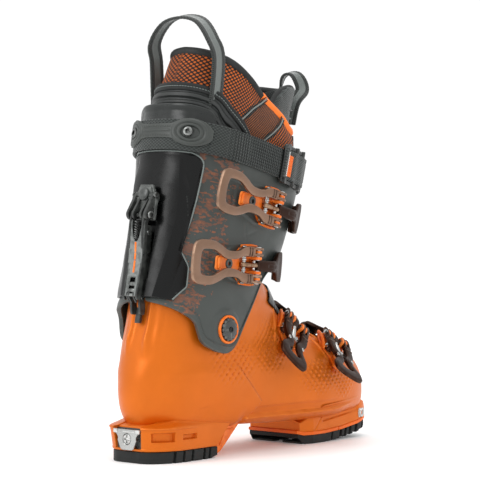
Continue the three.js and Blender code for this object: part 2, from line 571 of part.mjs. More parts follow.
// The bail runs from its barrel to a crossbar over the catch, whose own frame is turned by dip about y.
// path: the bail's middle line after the barrel, as [x, z].
const alongLine = ([x0, z0], [x1, z1]) => ({
  middle: [(x0 + x1) / 2, 0, (z0 + z1) / 2], length: Math.hypot(x1 - x0, z1 - z0),
  tilt: THREE.MathUtils.radToDeg(Math.atan2(z0 - z1, x1 - x0)),
});
const ROD_RADIUS = 1.9;
function bailRod({ reach }) {
  const axle = [BARREL.x, 0, BARREL.z];
  return join(rodY(3, 15, axle), rodY(1.55, ARM_OUTER * 2 - 1.4, axle, 12),
    rodX(ROD_RADIUS, reach, [BARREL.x + reach / 2, 0, BARREL.z], 12));
}
function bailHook({ reach, bend, tip, dip, half }) {
  const sleeve = box(bend[0] + 1 - BARREL.x - reach * 0.45, 8.2, 7,
    [(bend[0] + 1 + BARREL.x + reach * 0.45) / 2, 0, BARREL.z]);
  const leg = alongLine([bend[0] - 1.5, bend[1] + 0.6], tip);
  const stem = cut(box(leg.length, 8.2, 3.6, leg.middle, [0, leg.tilt, 0]),
    box(6, 9, 9, [tip[0], 0, tip[1]], [0, leg.tilt, 0]));
  const turn = new THREE.Matrix4().makeRotationY(THREE.MathUtils.degToRad(dip)).setPosition(tip[0], 0, tip[1]);
  const crossbar = side([[-4, -1.6], [-4, 1.8], [2, 2.6], [5.4, 1.6], [5.4, -3.7], [3.2, -3.7], [3, -1.6]],
    -half, half);
  const turned = solidOf(geometryOf(crossbar).applyMatrix4(turn));
  const bore = rodX(ROD_RADIUS + GAP, reach + 1, [BARREL.x + (reach + 1) / 2, 0, BARREL.z], 12);
  return cut(join(sleeve, stem, turned), bore);
}
// A toothed strip in the catch's own frame, its first tooth just behind the crossbar's lip.
const TOOTH = 4.1;
function catchStrip({ teeth, catchHalf }) {
  const pitch = 9.5;
  const start = -4.6;
  const length = pitch * teeth + 5;
  const profile = [[start, 0], [start + length, 0], [start + length, 1.6]];
  for (let i = teeth - 1; i >= 0; i -= 1) {
    const x = -2.5 + i * pitch;
    profile.push([x + 3.6, 1.6], [x + 3.2, TOOTH], [x + 1, TOOTH], [x - 1, 1.6]);
  }
  profile.push([start, 1.6]);
  return side(profile, -catchHalf, catchHalf);
}

// ---------------------------------------------------------------- buckle positions
// How far the skin stands over a frame's plane, inside a footprint.
function proud(skin, frame, x0, x1, half) {
  const toLocal = frame.clone().invert();
  return skin.reduce((most, p) => {
    const q = p.clone().applyMatrix4(toLocal);
    return q.x > x0 && q.x < x1 && Math.abs(q.y) < half && q.z > -25 ? Math.max(most, q.z) : most;
  }, -1e9);
}
const cuffOn = (angle, t) => shaftSurface(angle, t, 0);
function shellOn(s, turn) {
  const ring = footRing(s, 0, 720);
  return ring[Math.round(turn * 2 + 720) % 720];
}
const gridOf = (on, u0, u1, v0, v1, n) => {
  const points = [];
  for (let i = 0; i <= n; i += 1) {
    for (let j = 0; j <= n; j += 1) points.push(on(u0 + ((u1 - u0) * i) / n, v0 + ((v1 - v0) * j) / n));
  }
  return points;
};
const CUFF_SKIN = gridOf(cuffOn, -60, 170, -10, 175, 110);
const SHELL_SKIN = gridOf(shellOn, 0.1, 0.75, -100, 100, 150);

// seat, rest and hold are points on the skin: under the lever's hinge, where the base lies flat, and under the
// bail's crossbar.
function buckle(on, skin, seat, rest, hold, size) {
  const step = 0.5;
  const base = on(...seat);
  const across = (place, k) => on(place[0] + (k ? 0 : step * size.du), place[1] + (k ? step * size.dv : 0));
  const outAt = (place) => {
    const p = on(...place);
    return across(place, 0).sub(p).cross(across(place, 1).sub(p)).multiplyScalar(size.sense).normalize();
  };
  const held = on(...hold);
  const frame = frameOf(base, held.clone().sub(base), outAt(rest));
  const lift = proud(skin, frame, -24 - 22 * size.stretch, 9, 14) + GAP;
  frame.multiply(new THREE.Matrix4().makeTranslation(0, 0, lift));
  const local = held.clone().applyMatrix4(frame.clone().invert());
  const outLocal = outAt(hold).transformDirection(frame.clone().invert());
  const dip = THREE.MathUtils.radToDeg(Math.atan2(outLocal.x, outLocal.z));
  const catchTurn = new THREE.Matrix4().makeRotationY(THREE.MathUtils.degToRad(dip));
  const catchFrame = frame.clone().multiply(catchTurn.setPosition(local.x, local.y, local.z));
  const catchLift = proud(skin, catchFrame, -8, size.teeth * 9.5, size.catchHalf) + GAP;
  catchFrame.multiply(new THREE.Matrix4().makeTranslation(0, 0, catchLift));
  const tip = v3(0, 0, TOOTH + GAP + 1.6).applyMatrix4(catchFrame).applyMatrix4(frame.clone().invert());
  return { ...size, frame, catchFrame, dip, tip: [tip.x, tip.z], bend: [size.bendX, BARREL.z + size.bendUp] };
}

const boot = new THREE.Group();
const add = (name, solid, material) => boot.add(mesh(name, solid, material));

const ON_CUFF = { du: 1, dv: 1, sense: -1, stretch: 1, lift: 2.5, reach: 40, bendX: 37, bendUp: 0, half: 13,
  teeth: 4, catchHalf: 8 };
const ON_SHELL = { du: 0.01, dv: 1, sense: -1, stretch: 0.42, lift: 1.5, reach: 26, bendX: 19, bendUp: 0, half: 11,
  teeth: 3, catchHalf: 7 };
const buckles = {
  upper: [buckle(cuffOn, CUFF_SKIN, [76, 118], [76, 118], [25, 121], ON_CUFF), BRONZE],
  lower: [buckle(cuffOn, CUFF_SKIN, [81, 54], [81, 54], [26, 65], ON_CUFF), BRONZE],
  instep: [buckle(shellOn, SHELL_SKIN, [0.55, -47], [0.55, -62], [0.5, 0], ON_SHELL), DARK_BROWN],
  toe: [buckle(shellOn, SHELL_SKIN, [0.295, -45], [0.295, -62], [0.262, 5], ON_SHELL), DARK_BROWN],
};
const hinges = {};                            // where the moving pieces turn, before the last shift
Object.entries(buckles).forEach(([name, [b, leverMetal]]) => {
  add(`${name}_buckle_base`, moved(buckleBase(b), b.frame), BRIGHT_ORANGE);
  add(`${name}_buckle_lever`, moved(buckleLever(b), b.frame), leverMetal);
  add(`${name}_buckle_rod`, moved(bailRod(b), b.frame), STEEL);
  add(`${name}_buckle_hook`, moved(bailHook(b), b.frame), DARK_BROWN);
  add(`${name}_buckle_catch`, moved(catchStrip(b), b.catchFrame), BLACK_METAL);
  hinges[name] = {
    lever: v3(0, 0, HINGE_Z).applyMatrix4(b.frame),
    bail: v3(BARREL.x, 0, BARREL.z).applyMatrix4(b.frame),
    axis: v3(0, 1, 0).transformDirection(b.frame),
  };
});

// ---------------------------------------------------------------- assembly
add('lower_shell', lowerShell(), ORANGE_SHELL);
add('heel_tread', heelTread(), RUBBER);
add('toe_tread', toeTread(), RUBBER);
add('toe_sole_plate', toeSolePlate(), BRIGHT_ORANGE);
add('heel_wedge', heelWedge(), BRIGHT_ORANGE);
add('cuff_shell', cuffBody(), CUFF_GREY);
add('rear_panel', backPanel(), BLACK_PANEL);
add('rear_spoiler', rearSpoiler(), SPOILER_GREY);
add('power_strap', strapBand(), WEBBING);
add('strap_yoke', strapYoke(), RUBBER);
add('strap_tab', strapTab(), WEBBING);
add('strap_frame', strapBuckle(), BLACK_METAL);
add('liner_cuff', linerCuff(), LINER_MESH);
add('liner_tongue', linerTongue(), LINER_BLACK);
add('liner_foot', linerFoot(), LINER_BLACK);
add('boot_board', innerSole(SHELL_WALL + 2, 28.6, LINER_FLOOR), FOAM);
add('footbed', innerSole(SHELL_WALL + 8.6, LINER_FLOOR + 5.3, LINER_FLOOR + 9), FOAM);

// The instep cover lies over the shell's throat, in front of the cuff.
const shellPlate = (s0, s1, turn0, turn1, nu, nv, inner, outer) => {
  const ringPoint = (u, v, offset) => {
    const ring = footRing(s0 + (s1 - s0) * v, -offset, 360);
    return ring[(Math.round(turn0 + (turn1 - turn0) * u) + 360) % 360];
  };
  return plate(nu, nv, (u, v) => ringPoint(u, v, outer), (u, v) => ringPoint(u, v, inner));
};
add('instep_cover', shellPlate(0.63, 0.76, -36, 36, 12, 5, GAP, 2.4), BLACK_PANEL);

// Tech inserts: a T-shaped plate let into the heel, and two small cups at the toe's sides.
const heelInsert = () => cut(
  join(box(4.4, 30, 11, [-SOLE_HALF_LENGTH + 0.2, 0, LUG_TOP - 6.6]),
    box(4.4, 14, 17, [-SOLE_HALF_LENGTH + 0.2, 0, LUG_TOP - 9.5])),
  rodX(3.4, 20, [-SOLE_HALF_LENGTH, 0, 24]),
  ...[-1, 1].map((s) => box(4, 5, 7, [-SOLE_HALF_LENGTH - 1, s * 11, LUG_TOP - 6.6])));
add('heel_tech_insert', heelInsert(), STEEL);
add('heel_insert_screw', cut(rodX(3, 3.4, [-SOLE_HALF_LENGTH, 0, 24]),
  box(1.6, 3.6, 0.8, [-SOLE_HALF_LENGTH - 1.6, 0, 24]), box(1.6, 0.8, 3.6, [-SOLE_HALF_LENGTH - 1.6, 0, 24])), STEEL);
[['lateral', -1], ['medial', 1]].forEach(([word, s]) => {
  add(`toe_tech_insert_${word}`, cut(rodY(4, 3.6, [134, s * 33, 23]),
    placed(new THREE.SphereGeometry(2.6, 12, 8), [134, s * 35.1, 23])), STEEL);
});

// Ankle hinge: a bolt through shell and cuff with a wide head.
const pivotBolt = (s) => join(
  rodY(5.8, 12.2, [PIVOT.x, s * 44.4, PIVOT.z], 24),
  rodY(11, 2.6, [PIVOT.x, s * 51.6, PIVOT.z], 28),
  rodY(8.4, 2.2, [PIVOT.x, s * 53.8, PIVOT.z], 24));
[['lateral', -1], ['medial', 1]].forEach(([word, s]) => {
  add(`ankle_pivot_${word}`, cut(pivotBolt(s), rodY(2.4, 8, [PIVOT.x, s * 56, PIVOT.z], 12)), BLACK_METAL);
});

const walk = walkParts();
add('walk_bracket', walk.bracket, BLACK_METAL);
add('walk_bracket_pin', walk.bracketPin, STEEL);
add('walk_bar', walk.bar, BLACK_METAL);
add('walk_lever', walk.lever, STEEL);
add('walk_lever_pin', walk.pin, STEEL);
add('walk_spring', walk.spring, STEEL);
add('walk_lock_anchor', walkAnchor(), STEEL);
hinges.walk = { lever: walk.hinge, axis: v3(0, 1, 0) };

[-1, 1].forEach((s) => {
  const frame = yokeScrewFrame(s);
  const screw = cut(rodZ(4.4, 2, [0, 0, 1]), rodZ(2, 2, [0, 0, 2], 6));
  add(`yoke_screw_${s < 0 ? 'lateral' : 'medial'}`, moved(screw, frame), STEEL);
});

// Pull loops of webbing at the calf and on the tongue: two legs up the liner and an arch over them.
function pullLoop(legs, apex, width, tangentY) {
  const rise = (y, z) => v3(apex.x, y * legs[1].y, legs[1].z + (apex.z - legs[1].z) * z);
  const half = [...legs, rise(0.93, 0.45), rise(0.55, 0.88)];
  const other = half.map((p) => v3(p.x, -p.y, p.z)).reverse();
  const points = [...half, apex, ...other].map((p) => p.toArray());
  return ribbon(points, (u) => v3(1, tangentY * (2 * u - 1), 0.2), width, 2, 24);
}
add('rear_pull_loop', pullLoop([v3(-73, -38, 318), v3(-75, -36, 344)], v3(-80, 0, 383), 15, 0), WEBBING);
const tongueFront = (angle, t) => linerSurface(angle, t, linerOut(t) - LINER_THICK + 4);
add('tongue_pull_loop', pullLoop([tongueFront(13, 207), tongueFront(13, 226)], v3(69, 0, 342), 12, 2.5), WEBBING);
boot.position.set(0, CENTRE_SHIFT_Y, 0);
boot.userData.hinges = hinges;

export default boot;
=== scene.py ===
"""Looks for the alpine touring boot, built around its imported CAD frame.

Modelling is in millimetres in the boot's own axes: toe to +X, inner side to +Y, Z up, with the ankle hinge's middle
plane at Y = 0. build() moves every point into the frame's metres.
"""
import json
import math

import bmesh
import bpy
import numpy as np
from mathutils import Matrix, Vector
from mathutils.geometry import tessellate_polygon


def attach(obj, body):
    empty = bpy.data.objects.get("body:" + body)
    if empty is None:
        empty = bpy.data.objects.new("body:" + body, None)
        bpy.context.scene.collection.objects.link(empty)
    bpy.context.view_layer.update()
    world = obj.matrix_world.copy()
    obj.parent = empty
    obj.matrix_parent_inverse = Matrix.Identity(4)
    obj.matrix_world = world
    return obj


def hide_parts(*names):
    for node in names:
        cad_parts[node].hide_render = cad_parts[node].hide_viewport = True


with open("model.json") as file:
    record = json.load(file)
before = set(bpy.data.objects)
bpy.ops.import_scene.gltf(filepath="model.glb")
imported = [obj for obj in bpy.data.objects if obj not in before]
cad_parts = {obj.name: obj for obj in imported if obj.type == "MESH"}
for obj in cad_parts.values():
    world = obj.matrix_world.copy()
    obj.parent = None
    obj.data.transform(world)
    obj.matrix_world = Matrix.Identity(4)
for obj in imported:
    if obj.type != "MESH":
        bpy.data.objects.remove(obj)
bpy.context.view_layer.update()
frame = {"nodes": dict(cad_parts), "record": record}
JOINTS = {j["name"]: j for j in frame["record"]["behaviour"]["joints"]}
SHIFT = np.array([0.0, JOINTS["cuff_flex"]["pos_m"][1] * 1000, 0.0])  # the frame's Y of the boot's middle plane
SIDES = ((-1, "lateral"), (1, "medial"))
SHAFT_RADIUS = 57                            # the shaft's mean radius, for lengths measured round it


# ------------------------------------------------------------------ small maths
def unit(v):
    v = np.asarray(v, float)
    return v / np.maximum(np.linalg.norm(v, axis=-1, keepdims=True), 1e-9)


def smooth(a, b, t):
    u = np.clip((np.asarray(t, float) - a) / (b - a), 0, 1)
    return u * u * (3 - 2 * u)


def bump_at(t, centre, half, soft):
    """1 within half of centre, falling to 0 over soft."""
    return 1 - smooth(half, half + soft, np.abs(np.asarray(t) - centre))


def through(knots):
    """A smooth function through knots [position, value, value, ...], by cubic pieces."""
    k = np.array(knots, float)
    x, y = k[:, 0], k[:, 1:]
    n = len(x)
    slope = np.array([(y[min(n - 1, i + 1)] - y[max(0, i - 1)]) / (x[min(n - 1, i + 1)] - x[max(0, i - 1)])
                      for i in range(n)])

    def f(s):
        s = np.asarray(s, float)
        i = np.clip(np.searchsorted(x, s, side="left") - 1, 0, n - 2)
        h = (x[i + 1] - x[i])
        t = np.clip((s - x[i]) / h, 0, 1)[..., None]
        h = h[..., None]
        t2, t3 = t * t, t * t * t
        return ((2 * t3 - 3 * t2 + 1) * y[i] + (t3 - 2 * t2 + t) * h * slope[i]
                + (3 * t2 - 2 * t3) * y[i + 1] + (t3 - t2) * h * slope[i + 1])
    return f


def catmull(points, per):
    """A Catmull-Rom curve through the given points, with per points to each span."""
    p = np.array(points, float)
    m = len(p)
    out = []
    for i in range(m - 1):
        a, b, c, d = p[max(0, i - 1)], p[i], p[i + 1], p[min(m - 1, i + 2)]
        for t in np.linspace(0, 1, per, endpoint=False):
            out.append(0.5 * (2 * b + (c - a) * t + (2 * a - 5 * b + 4 * c - d) * t * t
                              + (3 * b - a - 3 * c + d) * t ** 3))
    return np.array(out + [p[-1]])


def spline(points, n):
    """n points evenly spread along a Catmull-Rom curve through the given points."""
    out = catmull(points, 24)
    run = np.r_[0, np.cumsum(np.linalg.norm(np.diff(out, axis=0), axis=1))]
    at = np.linspace(0, run[-1], n)
    return np.stack([np.interp(at, run, out[:, k]) for k in range(out.shape[1])], 1)


def rounded(points, radius, steps=4):
    """A closed 2-D outline with its corners rounded."""
    p = [np.array(q, float) for q in points]
    radii = radius if isinstance(radius, (list, tuple)) else [radius] * len(p)
    out = []
    for i, q in enumerate(p):
        a, b = p[i - 1] - q, p[(i + 1) % len(p)] - q
        la, lb = np.linalg.norm(a), np.linalg.norm(b)
        r = min(radii[i], la * 0.49, lb * 0.49)
        for t in np.linspace(0, 1, steps + 1):
            out.append(q + a / la * r * (1 - t) ** 2 + b / lb * r * t ** 2)
    return np.array(out)


# ------------------------------------------------------------------ the boot's two forms
FOOT = through([
    [0.00, 147.5, 58, 147.5, 38, 10, 4, 0.55, 2.2, 2.2], [0.04, 145, 69, 145.5, 30, 23, 4, 0.55, 2.2, 2.6],
    [0.09, 138.5, 78, 139, 25, 33, 3.5, 0.58, 2.2, 3.2], [0.15, 128, 86, 129, 24, 40.5, 3, 0.6, 2.1, 3.8],
    [0.23, 108, 93, 109, 24, 46, 2, 0.62, 1.95, 4.2], [0.32, 82, 101, 82, 24, 49, 1, 0.62, 1.85, 4.2],
    [0.40, 60, 107, 54, 24, 49, 0, 0.6, 1.8, 4], [0.48, 44, 114, 18, 24, 47, 0, 0.58, 1.8, 3.8],
    [0.56, 33, 124, -24, 24, 44.5, 0, 0.55, 1.85, 3.4], [0.64, 25, 134, -68, 24, 43.5, 0, 0.52, 2, 3],
    [0.71, 19, 141, -106, 24, 43.5, 0, 0.5, 2.3, 2.6], [0.77, 14, 146, -134, 26, 43.5, 0, 0.48, 2.4, 2.3],
    [0.82, 10, 150, -146.5, 40, 43.5, 0, 0.47, 2.4, 2.2], [0.87, 6, 153, -148, 66, 43.5, 0, 0.46, 2.4, 2.2],
    [0.92, 2, 156, -142, 92, 43.5, 0, 0.47, 2.4, 2.3], [0.96, -3, 159, -133.5, 117, 43.5, 0, 0.48, 2.4, 2.4],
    [1.00, -9, 164, -128.5, 144, 43, 0, 0.5, 2.4, 2.4]])


def foot(s, turn, inset=0.0):
    """A point of the foot form; turn runs from the top (0) down the inner side to the bottom (pi) and back."""
    s, turn = np.broadcast_arrays(np.asarray(s, float), np.asarray(turn, float))
    tx, tz, bx, bz, half, middle, widest, top_full, bottom_full = np.moveaxis(FOOT(s), -1, 0)
    run = np.hypot(bx - tx, bz - tz)
    ax, az = (bx - tx) / run * inset, (bz - tz) / run * inset
    q = 0.5 - 0.5 * np.cos(turn)
    u = np.where(q < widest, (widest - q) / widest, (q - widest) / (1 - widest))
    full = np.where(q < widest, top_full, bottom_full)
    y = (half - inset) * np.clip(1 - np.abs(u) ** full, 0, 1) ** (1 / full) * np.where(np.sin(turn) >= 0, 1, -1)
    return np.stack([tx + ax + (bx - tx - 2 * ax) * q, middle + y, tz + az + (bz - tz - 2 * az) * q], -1)


PIVOT = np.array([-80.0, 0.0, 112.0])
LEAN = math.radians(14)
FORWARD = np.array([math.cos(LEAN), 0, -math.sin(LEAN)])
UPWARD = np.array([math.sin(LEAN), 0, math.cos(LEAN)])
SHAFT = through([[-25, 56, -63, 49.5], [0, 60, -62.5, 49.5], [50, 74, -61.5, 50], [80, 85, -61.5, 51.5],
                 [105, 90, -63, 53], [130, 93, -65.5, 54.5], [145, 94, -68, 55.3], [180, 95, -69, 56],
                 [240, 99, -61, 55]])


def shaft_point(w, y, t):
    """A point by its place in the leaning shaft: w forwards and t upwards from the ankle hinge."""
    w, y, t = np.broadcast_arrays(*(np.asarray(v, float) for v in (w, y, t)))
    return PIVOT + w[..., None] * FORWARD + t[..., None] * UPWARD + np.stack([0 * y, y, 0 * y], -1)


def shaft(angle, t, offset=0.0, narrow=0.0):
    """A point of the shaft's form; angle 0 is the front, 90 the outer side, 180 the back."""
    angle, t, offset = np.broadcast_arrays(*(np.asarray(v, float) for v in (angle, t, offset)))
    front, back, half = np.moveaxis(SHAFT(t), -1, 0)
    c, s = np.cos(np.radians(angle)), np.sin(np.radians(angle))
    full = 2.45 - 0.05 * (0.5 - 0.5 * c)
    deep, wide = (front - back) / 2 + offset, half + offset - narrow
    r = ((np.abs(c) / deep) ** full + (np.abs(s) / wide) ** full) ** (-1 / full)
    return shaft_point((front + back) / 2 + r * c, -r * s, t)


def fold(angle):
    """Any angle round the shaft as 0 (front) to 180 (back), on either side."""
    a = np.mod(angle, 360)
    return np.where(a > 180, 360 - a, a)


def edge(knots):
    """An outline's height as a smooth function of the angle, alike on both sides, from [angle, height] knots."""
    f = through(knots)
    return lambda angle: f(fold(angle))[..., 0]


def between(a0, a1, nu, nv, low, high, wrap=False):
    """A grid of angles and heights between two outlines round the shaft, and its rows' share of the height."""
    angle = np.linspace(a0, a1, nu, endpoint=not wrap)[:, None]
    low, high = (f(angle) if callable(f) else f + 0 * angle for f in (low, high))
    v = np.linspace(0, 1, nv)[None, :]
    t = low + (high - low) * v
    return angle + 0 * t, t, v


def normals(p, wrap=False):
    """Unit normals of a grid of points."""
    du = np.roll(p, -1, 0) - np.roll(p, 1, 0) if wrap else np.gradient(p, axis=0)
    return unit(np.cross(du, np.gradient(p, axis=1)))


def outward(n, p, core):
    """The normals n of the points p, turned so that they lead away from core."""
    return -n if np.mean(np.sum(n * (p - core), -1)) < 0 else n


def skin_normals(p, t, wrap=False):
    """Unit normals of a grid of points on the shaft, away from its middle."""
    return outward(normals(p, wrap), p, shaft_point(15.0, 0.0, t))


def arc_mm(angle, radius=SHAFT_RADIUS):
    """The length of an arc in millimetres, from its angle in degrees."""
    return angle * math.pi / 180 * radius


# ------------------------------------------------------------------ mesh making
class Part:
    """Points and faces in millimetres, gathered before they become one object."""

    def __init__(self):
        self.v, self.f, self.uv, self.n = [], [], {}, 0

    def add(self, verts, faces, uv=None):
        verts = np.asarray(verts, float).reshape(-1, 3)
        self.v.append(verts)
        self.f += [tuple(int(i) + self.n for i in face) for face in faces]
        if uv is not None:
            for i, c in enumerate(np.asarray(uv, float).reshape(-1, 2)):
                self.uv[self.n + i] = c
        self.n += len(verts)
        return self

    def moved(self, m):
        self.v = [v @ m[:3, :3].T + m[:3, 3] for v in self.v]
        return self

    def take(self, other):
        return self.add(np.concatenate(other.v), other.f)


def sheet(p, n, out, inn, wrap=False, rim=0.8, steps=3, uv=None):
    """A closed plate: the grid p pushed along n by out and by inn, with a rounded rim."""
    nu, nv = p.shape[:2]
    out, inn = (np.broadcast_to(np.asarray(v, float), (nu, nv)) for v in (out, inn))
    outer, inner = p + n * out[..., None], p + n * inn[..., None]
    ids = np.arange(nu * nv).reshape(nu, nv)
    around = np.concatenate([ids, ids[:1]], 0) if wrap else ids
    quads = np.stack([around[:-1, :-1], around[1:, :-1], around[1:, 1:], around[:-1, 1:]], -1).reshape(-1, 4)
    sign = np.sign(np.mean(np.sum(normals(p, wrap) * n, -1)))
    total = nu * nv
    verts, faces = [outer.reshape(-1, 3), inner.reshape(-1, 3)], [quads, quads[:, ::-1] + total]
    if wrap:
        loops = [ids[:, 0], ids[::-1, -1]]
    else:
        loops = [np.r_[ids[:-1, 0], ids[-1, :-1], ids[:0:-1, -1], ids[0, :0:-1]]]
    count = 2 * total
    flat_o, flat_i = verts[0], verts[1]
    uvs = None
    if uv is not None:
        flat_uv = np.asarray(uv, float).reshape(-1, 2)
        uvs = [flat_uv, flat_uv]
    for loop in loops:
        o, i = flat_o[loop], flat_i[loop]
        middle, half = (o + i) / 2, np.linalg.norm(o - i, axis=1)[:, None] / 2
        up = unit(o - i)
        run = unit(np.roll(middle, -1, 0) - np.roll(middle, 1, 0))
        away = unit(np.cross(run, up)) * sign
        previous = loop
        rows = []
        for k in range(1, steps + 1):
            a = math.pi * k / (steps + 1)
            lift = math.copysign(abs(math.cos(a)) ** 0.7, math.cos(a))
            verts.append(middle + up * half * lift + away * rim * math.sin(a) ** 0.7)
            if uvs is not None:
                uvs.append(flat_uv[loop])
            rows.append(np.arange(count, count + len(loop)))
            count += len(loop)
        for nxt in rows + [loop + total]:
            faces.append(np.stack([previous, nxt, np.roll(nxt, -1), np.roll(previous, -1)], -1))
            previous = nxt
    return np.concatenate(verts), np.concatenate(faces), None if uvs is None else np.concatenate(uvs)


def ring_faces(rows, n):
    """Quads between successive rings of n points, closed by a face at either end."""
    ids = np.arange(rows * n).reshape(rows, n)
    nxt = np.roll(ids, -1, 1)
    quads = np.stack([ids[:-1], nxt[:-1], nxt[1:], ids[1:]], -1).reshape(-1, 4).tolist()
    return quads, [tuple(ids[0][::-1]), tuple(ids[-1])]


def tube(path, radius, sides=10, squash=1.0, up=(0, 0, 1)):
    """A round or flattened bar along a path; radius may vary along it."""
    p = np.asarray(path, float)
    m = len(p)
    run = unit(np.gradient(p, axis=0))
    ups = np.broadcast_to(np.asarray(up, float), p.shape)
    across = unit(np.cross(run, ups))
    rise = unit(np.cross(across, run))
    a = np.linspace(0, 2 * math.pi, sides, endpoint=False)
    r = np.broadcast_to(np.asarray(radius, float), (m,))[:, None, None]
    ring = p[:, None] + r * (np.cos(a)[None, :, None] * across[:, None]
                             + squash * np.sin(a)[None, :, None] * rise[:, None])
    quads, ends = ring_faces(m, sides)
    return ring.reshape(-1, 3), quads + ends


def signed_area(loop):
    """The area inside a flat outline, positive where it runs anticlockwise."""
    return 0.5 * np.sum(loop[:, 0] * np.roll(loop[:, 1], -1) - np.roll(loop[:, 0], -1) * loop[:, 1])


def left_of(loop):
    """Unit normals of a flat outline, to the left of its run."""
    turn = unit(loop - np.roll(loop, 1, 0)) + unit(np.roll(loop, -1, 0) - loop)
    return unit(np.stack([-turn[:, 1], turn[:, 0]], 1))


def prism(outline, z0, z1, holes=(), bevel=0.4):
    """A flat outline with holes, pushed from z0 to z1, its long edges broken by a small bevel."""
    loops = [np.asarray(outline, float)] + [np.asarray(h, float) for h in holes]
    loops = [l if (signed_area(l) > 0) == (k == 0) else l[::-1] for k, l in enumerate(loops)]
    small = [l + left_of(l) * bevel for l in loops]
    tris = tessellate_polygon([[Vector((x, y, 0)) for x, y in l] for l in small])
    n = sum(len(l) for l in loops)
    layers = [(small, z0), (loops, z0 + bevel), (loops, z1 - bevel), (small, z1)]
    verts = np.concatenate([np.c_[np.concatenate(ls), np.full(n, z)] for ls, z in layers])
    faces, start = [], 0
    for l in loops:
        ids = np.arange(start, start + len(l))
        for k in range(3):
            a, b = ids + k * n, ids + (k + 1) * n
            faces += np.stack([a, np.roll(a, -1), np.roll(b, -1), b], -1).tolist()
        start += len(l)
    faces += [tuple(t[::-1]) for t in tris] + [tuple(i + 3 * n for i in t) for t in tris]
    return verts, faces


def sideways(solid, side=1, x=0.0, z=0.0):
    """A solid drawn in the (x, z) plane and pushed along y, to the given side."""
    verts, faces = solid
    return np.stack([verts[:, 0] + x, verts[:, 2] * side, verts[:, 1] + z], 1), faces


def disc(radius, n=32, at=(0, 0)):
    a = np.linspace(0, 2 * math.pi, n, endpoint=False)
    return np.c_[at[0] + radius * np.cos(a), at[1] + radius * np.sin(a)]


def lathe(profile, n=32):
    """A solid of revolution about Z from [[r, z], ...], top to bottom; r may be 0 at its ends."""
    prof = np.asarray(profile, float)
    a = np.linspace(0, 2 * math.pi, n, endpoint=False)
    ring = np.stack([prof[:, None, 0] * np.cos(a), prof[:, None, 0] * np.sin(a), prof[:, None, 1] + 0 * a], -1)
    ids = np.arange(len(prof) * n).reshape(-1, n)
    nxt = np.roll(ids, -1, 1)
    faces = np.stack([ids[:-1], ids[1:], nxt[1:], nxt[:-1]], -1).reshape(-1, 4).tolist()
    return ring.reshape(-1, 3), faces + [tuple(ids[0]), tuple(ids[-1][::-1])]


def block(size, bevel=0.5):
    """A box about its centre with broken edges."""
    x, y, z = np.asarray(size, float) / 2
    return prism(rounded([(-x, -y), (x, -y), (x, y), (-x, y)], bevel * 1.5, 2), -z, z, bevel=bevel)


def basis(origin, x, z):
    """A frame at origin with its X near x and its Z along z, as a 4 x 4 array."""
    z = unit(z)
    x = unit(np.asarray(x, float) - z * np.dot(x, z))
    m = np.eye(4)
    m[:3, 0], m[:3, 1], m[:3, 2], m[:3, 3] = x, np.cross(z, x), z, origin
    return m


def build(name, parts, material, body, replaces=(), sharp=38):
    """Turns gathered parts into one named object that rides on a body."""
    if isinstance(parts, tuple):
        parts = Part().add(*parts)
    verts = (np.concatenate(parts.v) + SHIFT) / 1000
    me = bpy.data.meshes.new(name)
    me.from_pydata(verts.tolist(), [], parts.f)
    if parts.uv:
        layer = me.uv_layers.new(name="UVMap")
        loop_vertex = np.empty(len(me.loops), np.int32)
        me.loops.foreach_get("vertex_index", loop_vertex)
        table = np.zeros((len(verts), 2))
        for i, c in parts.uv.items():
            table[i] = c
        layer.data.foreach_set("uv", (table[loop_vertex] / 10).ravel())
    bm = bmesh.new()
    bm.from_mesh(me)
    bmesh.ops.remove_doubles(bm, verts=bm.verts, dist=2e-6)
    bmesh.ops.dissolve_degenerate(bm, dist=1e-7, edges=bm.edges)
    bmesh.ops.recalc_face_normals(bm, faces=bm.faces)
    bm.to_mesh(me)
    bm.free()
    me.shade_smooth()
    me.set_sharp_from_angle(angle=math.radians(sharp))
    obj = bpy.data.objects.new(name, me)
    bpy.context.scene.collection.objects.link(obj)
    for m in (material if isinstance(material, (list, tuple)) else [material]):
        me.materials.append(m)
    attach(obj, body)
    if replaces:
        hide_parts(*replaces)
    return obj


